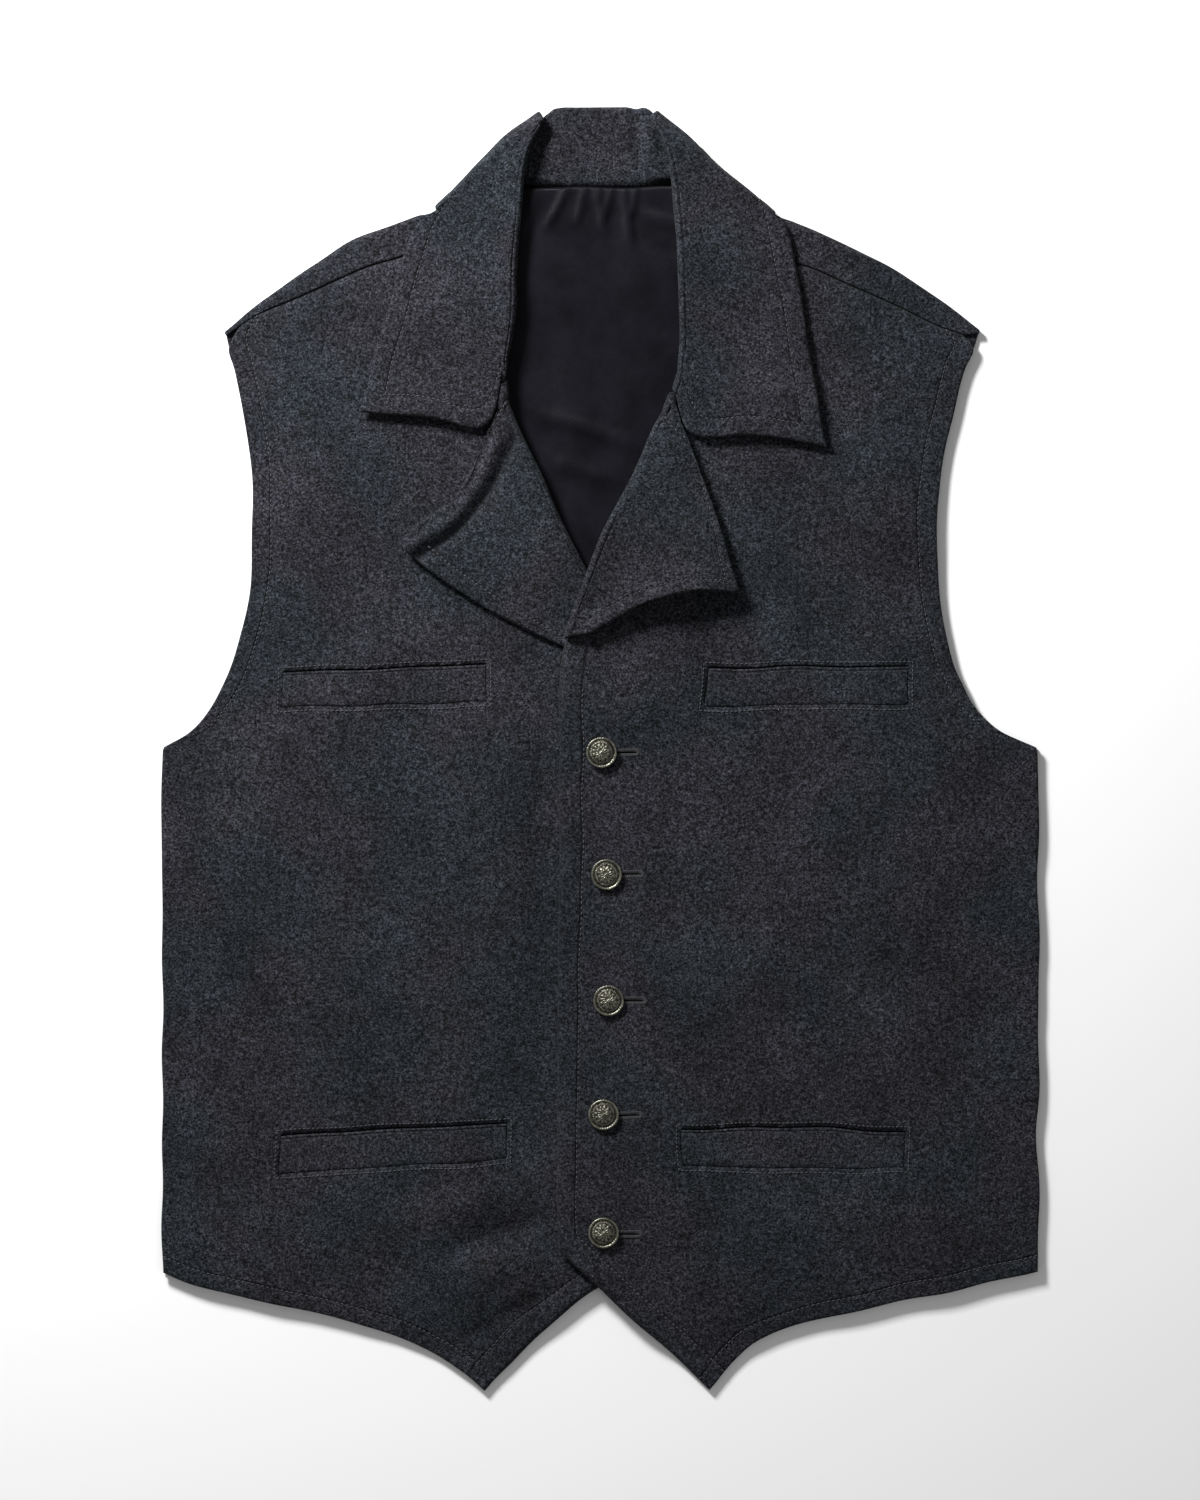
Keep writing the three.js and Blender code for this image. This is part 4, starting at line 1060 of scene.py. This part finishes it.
class Look:
    """A material with a Principled shader, and short names for the nodes it is made of."""

    def __init__(self, name):
        self.material = bpy.data.materials.new(name)
        self.material.use_nodes = True
        self.tree = self.material.node_tree
        self.shader = self.tree.nodes["Principled BSDF"]
        self.place = self.node("TexCoord").outputs["Object"]

    def fill(self, socket, value):
        if isinstance(value, bpy.types.NodeSocket):
            self.tree.links.new(value, socket)
        else:
            socket.default_value = value

    def node(self, kind, inputs=None, **settings):
        made = self.tree.nodes.new(f"ShaderNode{kind}")
        for key, value in settings.items():
            setattr(made, key, value)
        for key, value in (inputs or {}).items():
            self.fill(made.inputs[key], value)
        return made

    def math(self, operation, a, b=0.0, clamp=False):
        return self.node("Math", {0: a, 1: b}, operation=operation, use_clamp=clamp).outputs[0]

    def times(self, a, b):
        return self.math("MULTIPLY", a, b)

    def plus(self, a, b):
        return self.math("ADD", a, b)

    def noise(self, scale, detail=3.0, rough=0.55, warp=0.0, place=None):
        place = self.place if place is None else place
        inputs = {"Vector": place, "Scale": scale, "Detail": detail, "Roughness": rough}
        return self.node("TexNoise", {**inputs, "Distortion": warp}).outputs["Fac"]

    def bands(self, scale, warp):
        inputs = {"Vector": self.place, "Scale": scale, "Distortion": warp, "Detail": 2.0}
        return self.node("TexWave", inputs, wave_type="BANDS", bands_direction="DIAGONAL").outputs["Fac"]

    def attribute(self, name):
        return self.node("Attribute", attribute_name=name).outputs["Fac"]

    def ramp(self, value, *stops):
        """A colour ramp: stops of (position, colour or grey)."""
        made = self.node("ValToRGB", {"Fac": value})
        elements = made.color_ramp.elements
        while len(elements) < len(stops):
            elements.new(0.5)
        for element, (position, colour) in zip(elements, stops):
            element.position = position
            element.color = (colour, colour, colour, 1) if isinstance(colour, float) else (*colour, 1)
        return made.outputs["Color"]

    def blend(self, factor, a, b, kind="MIX"):
        made = self.node("Mix", data_type="RGBA", blend_type=kind)
        for key, value in ((0, factor), (6, a), (7, b)):
            self.fill(made.inputs[key], (*value, 1) if isinstance(value, tuple) else value)
        return made.outputs[2]

    def groove(self, attribute, line, width):
        """1 on a line at this distance from an edge, falling to 0 beside it: a sewn line, an edge, a seam or
        a trough, which the wool sinks and darkens with painted shade.
        """
        off = self.math("ABSOLUTE", self.math("SUBTRACT", self.attribute(attribute), line))
        return self.math("SUBTRACT", 1.0, self.math("DIVIDE", off, width), clamp=True)

    def finish(self, colour, roughness, height, distance, **values):
        bump = self.node("Bump", {"Height": height, "Distance": distance, "Strength": 1.0})
        self.tree.links.new(colour, self.shader.inputs["Base Color"])
        self.tree.links.new(roughness, self.shader.inputs["Roughness"])
        self.tree.links.new(bump.outputs["Normal"], self.shader.inputs["Normal"])
        for key, value in values.items():
            self.shader.inputs[key.replace("_", " ")].default_value = value
        return self.material


BLUE_WOOL = (0.0138, 0.0162, 0.0198)
PLUM_WOOL = (0.0168, 0.0160, 0.0200)
PALE_FIBRE = (0.085, 0.087, 0.093)
# Dark wool for the painted shade along grooves, edges and seams
GROOVE_SHADE_WOOL = (0.012, 0.012, 0.015)
FIBRES = ((0.5, 1.0), (-0.9, 1.2), (1.4, 0.9))  # each layer's heading and its scale
SATIN_SHADES = (0.0036, 0.0036, 0.0056), (0.0066, 0.0066, 0.0098)
PATINA = (0.012, 0.011, 0.009), (0.045, 0.040, 0.030)
BARE_METAL = (0.12, 0.12, 0.095), (0.25, 0.25, 0.20)
DARK_YARN = (0.050, 0.053, 0.062)
HOLE_YARN = (0.019, 0.020, 0.024)


def scaled(colour, share):
    return tuple(share * c for c in colour)


def wool(name, grooves=(), shade=1.0):
    """Heathered, felted wool: dark ground, fine pale and black fibres, short nap, and painted shade along
    its grooves.
    """
    look = Look(name)
    dye = look.ramp(look.noise(13, 2, 0.5), (0.42, 0.0), (0.60, 1.0))
    colour = look.blend(dye, scaled(BLUE_WOOL, shade), scaled(PLUM_WOOL, shade))
    patches = look.ramp(look.noise(22, 4, 0.6), (0.36, 0.80), (0.64, 1.22))
    heather = look.noise(780, 3, 0.8, 0.5)
    flecks = look.ramp(heather, (0.39, 0.12), (0.49, 0.75), (0.61, 2.7))
    grains = look.ramp(look.noise(330, 3, 0.7, 0.4), (0.36, 0.55), (0.64, 1.55))
    for layer in (patches, flecks, grains):
        colour = look.blend(1.0, colour, layer, "MULTIPLY")
    fibre = None
    for turn, size in FIBRES:
        scale = (260 * size, 2100 * size, 900)
        mapped = look.node("Mapping", {"Vector": look.place, "Rotation": (0, 0, turn), "Scale": scale})
        strand = look.ramp(look.noise(1.0, 2, 0.6, 0.4, mapped.outputs[0]), (0.62, 0.0), (0.72, 1.0))
        fibre = strand if fibre is None else look.math("MAXIMUM", fibre, strand)
    pale = look.times(fibre, look.ramp(look.noise(150, 2, 0.5), (0.45, 0.2), (0.62, 1.0)))
    colour = look.blend(look.times(pale, 0.6), colour, scaled(PALE_FIBRE, shade))
    height = look.plus(look.times(heather, 0.7), look.times(fibre, 0.35))
    height = look.plus(height, look.times(look.noise(130, 2, 0.5), 0.8))
    sewn = None
    for attribute, line, width in grooves:
        one = look.groove(attribute, line, width)
        sewn = one if sewn is None else look.math("MAXIMUM", sewn, one)
    if sewn is not None:
        groove_depth_and_shade = look.ramp(sewn, (0.0, 0.0), (1.0, 1.0))
        height = look.math("SUBTRACT", height, look.times(groove_depth_and_shade, 1.6))
        # Painted shade: the wool is darkened along each groove, where shadow falls
        colour = look.blend(look.times(groove_depth_and_shade, 0.45), colour, GROOVE_SHADE_WOOL)
    roughness = look.ramp(heather, (0.3, 0.82), (0.7, 0.95))
    sheen = {"Sheen_Weight": 0.03, "Sheen_Roughness": 0.5}
    return look.finish(colour, roughness, height, 0.00045, Specular_IOR_Level=0.06, **sheen)


def satin(name):
    look = Look(name)
    colour = look.ramp(look.noise(45, 3, 0.5), (0.35, SATIN_SHADES[0]), (0.65, SATIN_SHADES[1]))
    roughness = look.ramp(look.noise(120, 2, 0.5), (0.3, 0.38), (0.7, 0.52))
    height = look.plus(look.bands(700, 2.0), look.times(look.noise(90, 3, 0.6), 3.0))
    return look.finish(colour, roughness, height, 0.00012, Sheen_Weight=0.0, Specular_IOR_Level=0.11)


def old_metal(name):
    """Metal worn bare on its relief, with dark patina between."""
    look = Look(name)
    grain = look.noise(900, 4, 0.65)
    lifted = look.plus(look.attribute("relief"), look.math("SUBTRACT", grain, 0.5))
    worn = look.ramp(lifted, (0.02, 0.0), (0.35, 1.0))
    patina = look.ramp(look.noise(380, 4, 0.6), (0.35, PATINA[0]), (0.65, PATINA[1]))
    bare = look.ramp(look.noise(260, 3, 0.5), (0.35, BARE_METAL[0]), (0.65, BARE_METAL[1]))
    colour = look.blend(worn, patina, bare)
    return look.finish(colour, look.ramp(worn, (0.0, 0.62), (1.0, 0.34)), grain, 0.00018, Metallic=0.92)


def thread(name, yarn):
    look = Look(name)
    twist = look.bands(900, 3.0)
    colour = look.ramp(look.noise(800, 2, 0.5), (0.3, scaled(yarn, 0.6)), (0.7, scaled(yarn, 1.4)))
    return look.finish(colour, look.ramp(twist, (0.2, 0.55), (0.8, 0.8)), twist, 0.0001, Sheen_Weight=0.15)


CLOTH_OF = {"collar": COLLAR_CLOTH, "lapel_right": LAPEL_CLOTH, "lapel_left": LAPEL_CLOTH}

# Materials
# A groove each, sunk into the bump and darkened with painted shade: the distance it follows, its value there
# and the groove's half width
PANEL_GROOVES = [
    ("from_hem", HEM_LINE, 1.3),
    ("from_armhole", ARMHOLE_LINE, 1.3),
    ("from_front", FRONT_LINE, 1.6),
    # painted shadow along the front's edge, and in the shoulder seam
    ("from_front", 0.0, 2.6),
    ("from_seam", 0.0, 3.4),
]
# painted shade along the sewn line of collar and lapels, and a painted shadow in the trough inside the right
# lapel's rim
COLLAR_GROOVES = [("from_edge", COLLAR_LINE, 1.3), ("from_rim", *RIM_TROUGH[:2])]
WELT_GROOVES = [("from_mouth", 2.0, 0.9)]
WOOL_FRONT = wool("wool_fronts", PANEL_GROOVES)
WOOL_BACK = wool("wool_back", shade=0.92)
WOOL_COLLAR = wool("wool_collar", COLLAR_GROOVES)
WOOL_WELT = wool("wool_welts", WELT_GROOVES, shade=1.04)
LINING = satin("dark_satin")
METAL = old_metal("aged_metal")
DARK_THREAD = thread("charcoal_thread", DARK_YARN)
HOLE_THREAD = thread("buttonhole_thread", HOLE_YARN)

# The cloth, in the order it is laid
pile.lay(collar_behind(), COLLAR_CLOTH / 2)
back = make_back(WOOL_BACK)
lining = make_lining(LINING)
panels = pile.copy()
fronts, lapels, leaves = {}, {}, {}
for name, table in (("right", LAPEL_RIGHT), ("left", LAPEL_LEFT)):
    fronts[name] = make_front(name, pile.cover(REACH, SOFTEN), WOOL_FRONT)
    side = PLANS[name]["side"]
    made = make_lapel(f"lapel_{name}_cloth", table, side, fronts[name]["level"], WOOL_COLLAR)
    lapels[name], leaves[f"lapel_{name}"] = made
levels = {name: front["level"] for name, front in fronts.items()}
back_object = finish_back(back, levels)
collar, leaves["collar"] = make_collar(levels, WOOL_COLLAR)
welts = {name: make_welt(name, levels[WELTS[name][0]], WOOL_WELT) for name in WELTS}

# Buttons, each held by the highest cloth around it
around = np.arange(8) * math.pi / 4
reach = 1.5 * BUTTON_RADIUS
buttons = []
for k, (x, y) in enumerate(BUTTON_PLACES, 1):
    ring = levels["left"](x + reach * np.cos(around), y + reach * np.sin(around))
    seat = ring.max() + WOOL / 2 + SEAM_GAP
    under = levels["right"](np.array([x]), np.array([y]))[0] + WOOL / 2 + SEAM_GAP
    buttons.append(make_button(f"button_{k}_metal", x, y, seat, seat - under, 0.5 * k, METAL))


def sew_front(name, front):
    sewn = Threads()
    points, lift = front["points"], WOOL / 2 + THREAD_RISE
    sewn.run(offset_line(points, front["inner"], FRONT_LINE, lift, lambda x, y: y < 40))
    sewn.run(offset_line(points, front["armhole"], ARMHOLE_LINE, lift, lambda x, y: y > 14))
    sewn.run(offset_line(np.swapaxes(points, 0, 1), front["low"].T, HEM_LINE, -lift))
    for welt in [key for key in WELTS if WELTS[key][0] == name]:
        above = welt_ring(welt, WELT_MARGIN, WELT_ABOVE)[:MOUTH_POINTS]
        line = np.vstack([above, welt_corners(welt, WELT_MARGIN)[2:], above[0]])
        line = along(line, np.linspace(0, 1, 240))
        x, y = line.T
        heights = front["level"](x, y) + WOOL / 2 + 0.15 * ripple(x, y) + 0.15
        sewn.run(np.column_stack([line, heights]), pitch=WELT_PITCH)
    return sewn.make(f"stitches_{name}", DARK_THREAD)


def sew_leaf(name, leaf):
    """Stitches along a leaf's outer edge, and along its two ends where they are wide."""
    sewn = Threads()
    _, right, low, high = edge_distances(leaf)
    lift = CLOTH_OF[name] / 2 + THREAD_RISE
    inside = (low.min(1) > COLLAR_LINE - 1) & (high.min(1) > COLLAR_LINE - 1)
    sewn.run(offset_line(leaf[inside], right[inside], COLLAR_LINE, lift))
    for distances, end in ((low, 0), (high, -1)):
        reached = (np.arange(leaf.shape[1]) >= LEAF_START) & (right[end] > COLLAR_LINE)
        if reached.sum() > 3:
            columns = np.swapaxes(leaf[:, reached], 0, 1)
            sewn.run(offset_line(columns, distances[:, reached].T, COLLAR_LINE, -lift))
    return sewn.make(f"stitches_{name}", DARK_THREAD)


def sew_holes():
    """Thread laid across each buttonhole's edge, all the way round."""
    sewn = Threads()
    at = (np.arange(HOLE_STITCHES) + 0.5) / HOLE_STITCHES
    for x, y in BUTTON_PLACES:
        inner, outer = (hole_ring(x, y, grow, 40) for grow in (-1.15, 0.9))
        inner = along(np.vstack([inner, inner[:1]]), at)
        outer = along(np.vstack([outer, outer[:1]]), at)
        for a, b in zip(inner, outer):
            top = levels["left"](b[:1], b[1:])[0] + WOOL / 2 + THREAD_RISE
            start, end = settle(np.array([(*a, top - 0.35), (*b, top)]))
            sewn.stitch(start, end, HOLE_THREAD_RADIUS)
    return sewn.make("buttonhole_threads", HOLE_THREAD)


stitches = [sew_front(name, front) for name, front in fronts.items()]
stitches += [sew_leaf(name, leaf) for name, leaf in leaves.items()]
hole_threads = sew_holes()

# Each piece goes onto the body, and the CAD parts it stands for are hidden
for obj, slot, *nodes in (
    (back_object, "wool", "back_panel"),
    (lining, "satin_lining", "back_lining"),
    (collar, "wool", "collar"),
    *[(fronts[name]["object"], "wool", f"front_{name}") for name in fronts],
    *[(lapels[name], "wool", f"lapel_{name}") for name in lapels],
    *[(welts[name], "wool", name) for name in welts],
    *[(button, "button_metal", f"button_{k}") for k, button in enumerate(buttons, 1)],
    *[(sewn, "wool") for sewn in stitches],
    (hole_threads, "wool"),
):
    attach(obj, BODY)
    if nodes:
        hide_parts(*nodes)

# Floor, camera and lights, in metres
FLOOR_SIZE = 12
FLOOR_DROP = 0.0005
CAMERA_HEIGHT = 4.008
KEY_LIGHT = ((-0.74, 1.06, 0.80), 0.32, 47)  # place, size, power
FILL_LIGHT = ((1.4, -1.0, 2.4), 1.6, 6)
WORLD_LIGHT = 0.24
bpy.ops.mesh.primitive_plane_add(size=FLOOR_SIZE, location=(0, 0, -FLOOR_DROP))
floor = bpy.context.object
floor.name = "floor"
paper = bpy.data.materials.new("white_paper")
paper.use_nodes = True
surface = paper.node_tree.nodes["Principled BSDF"]
surface.inputs["Base Color"].default_value = (0.93, 0.93, 0.93, 1)
surface.inputs["Roughness"].default_value = 0.9
floor.data.materials.append(paper)

lens = bpy.data.cameras.new("camera")
lens.sensor_fit = "VERTICAL"
lens.sensor_height = 36
lens.lens = 160
lens.clip_end = 50
camera = bpy.data.objects.new("camera", lens)
camera.location = (0, 0, CAMERA_HEIGHT)
bpy.context.scene.collection.objects.link(camera)
bpy.context.scene.camera = camera


def area_light(name, place, size, power):
    data = bpy.data.lights.new(name, "AREA")
    data.size = size
    data.energy = power
    light = bpy.data.objects.new(name, data)
    light.location = place
    light.rotation_euler = (-Vector(place)).to_track_quat("-Z", "Y").to_euler()
    bpy.context.scene.collection.objects.link(light)


area_light("key", *KEY_LIGHT)
area_light("fill", *FILL_LIGHT)
world = bpy.data.worlds.new("studio")
bpy.context.scene.world = world
world.use_nodes = True
sky = world.node_tree.nodes["Background"]
sky.inputs["Color"].default_value = (1, 1, 1, 1)
sky.inputs["Strength"].default_value = WORLD_LIGHT
bpy.context.scene.view_settings.view_transform = "Standard"
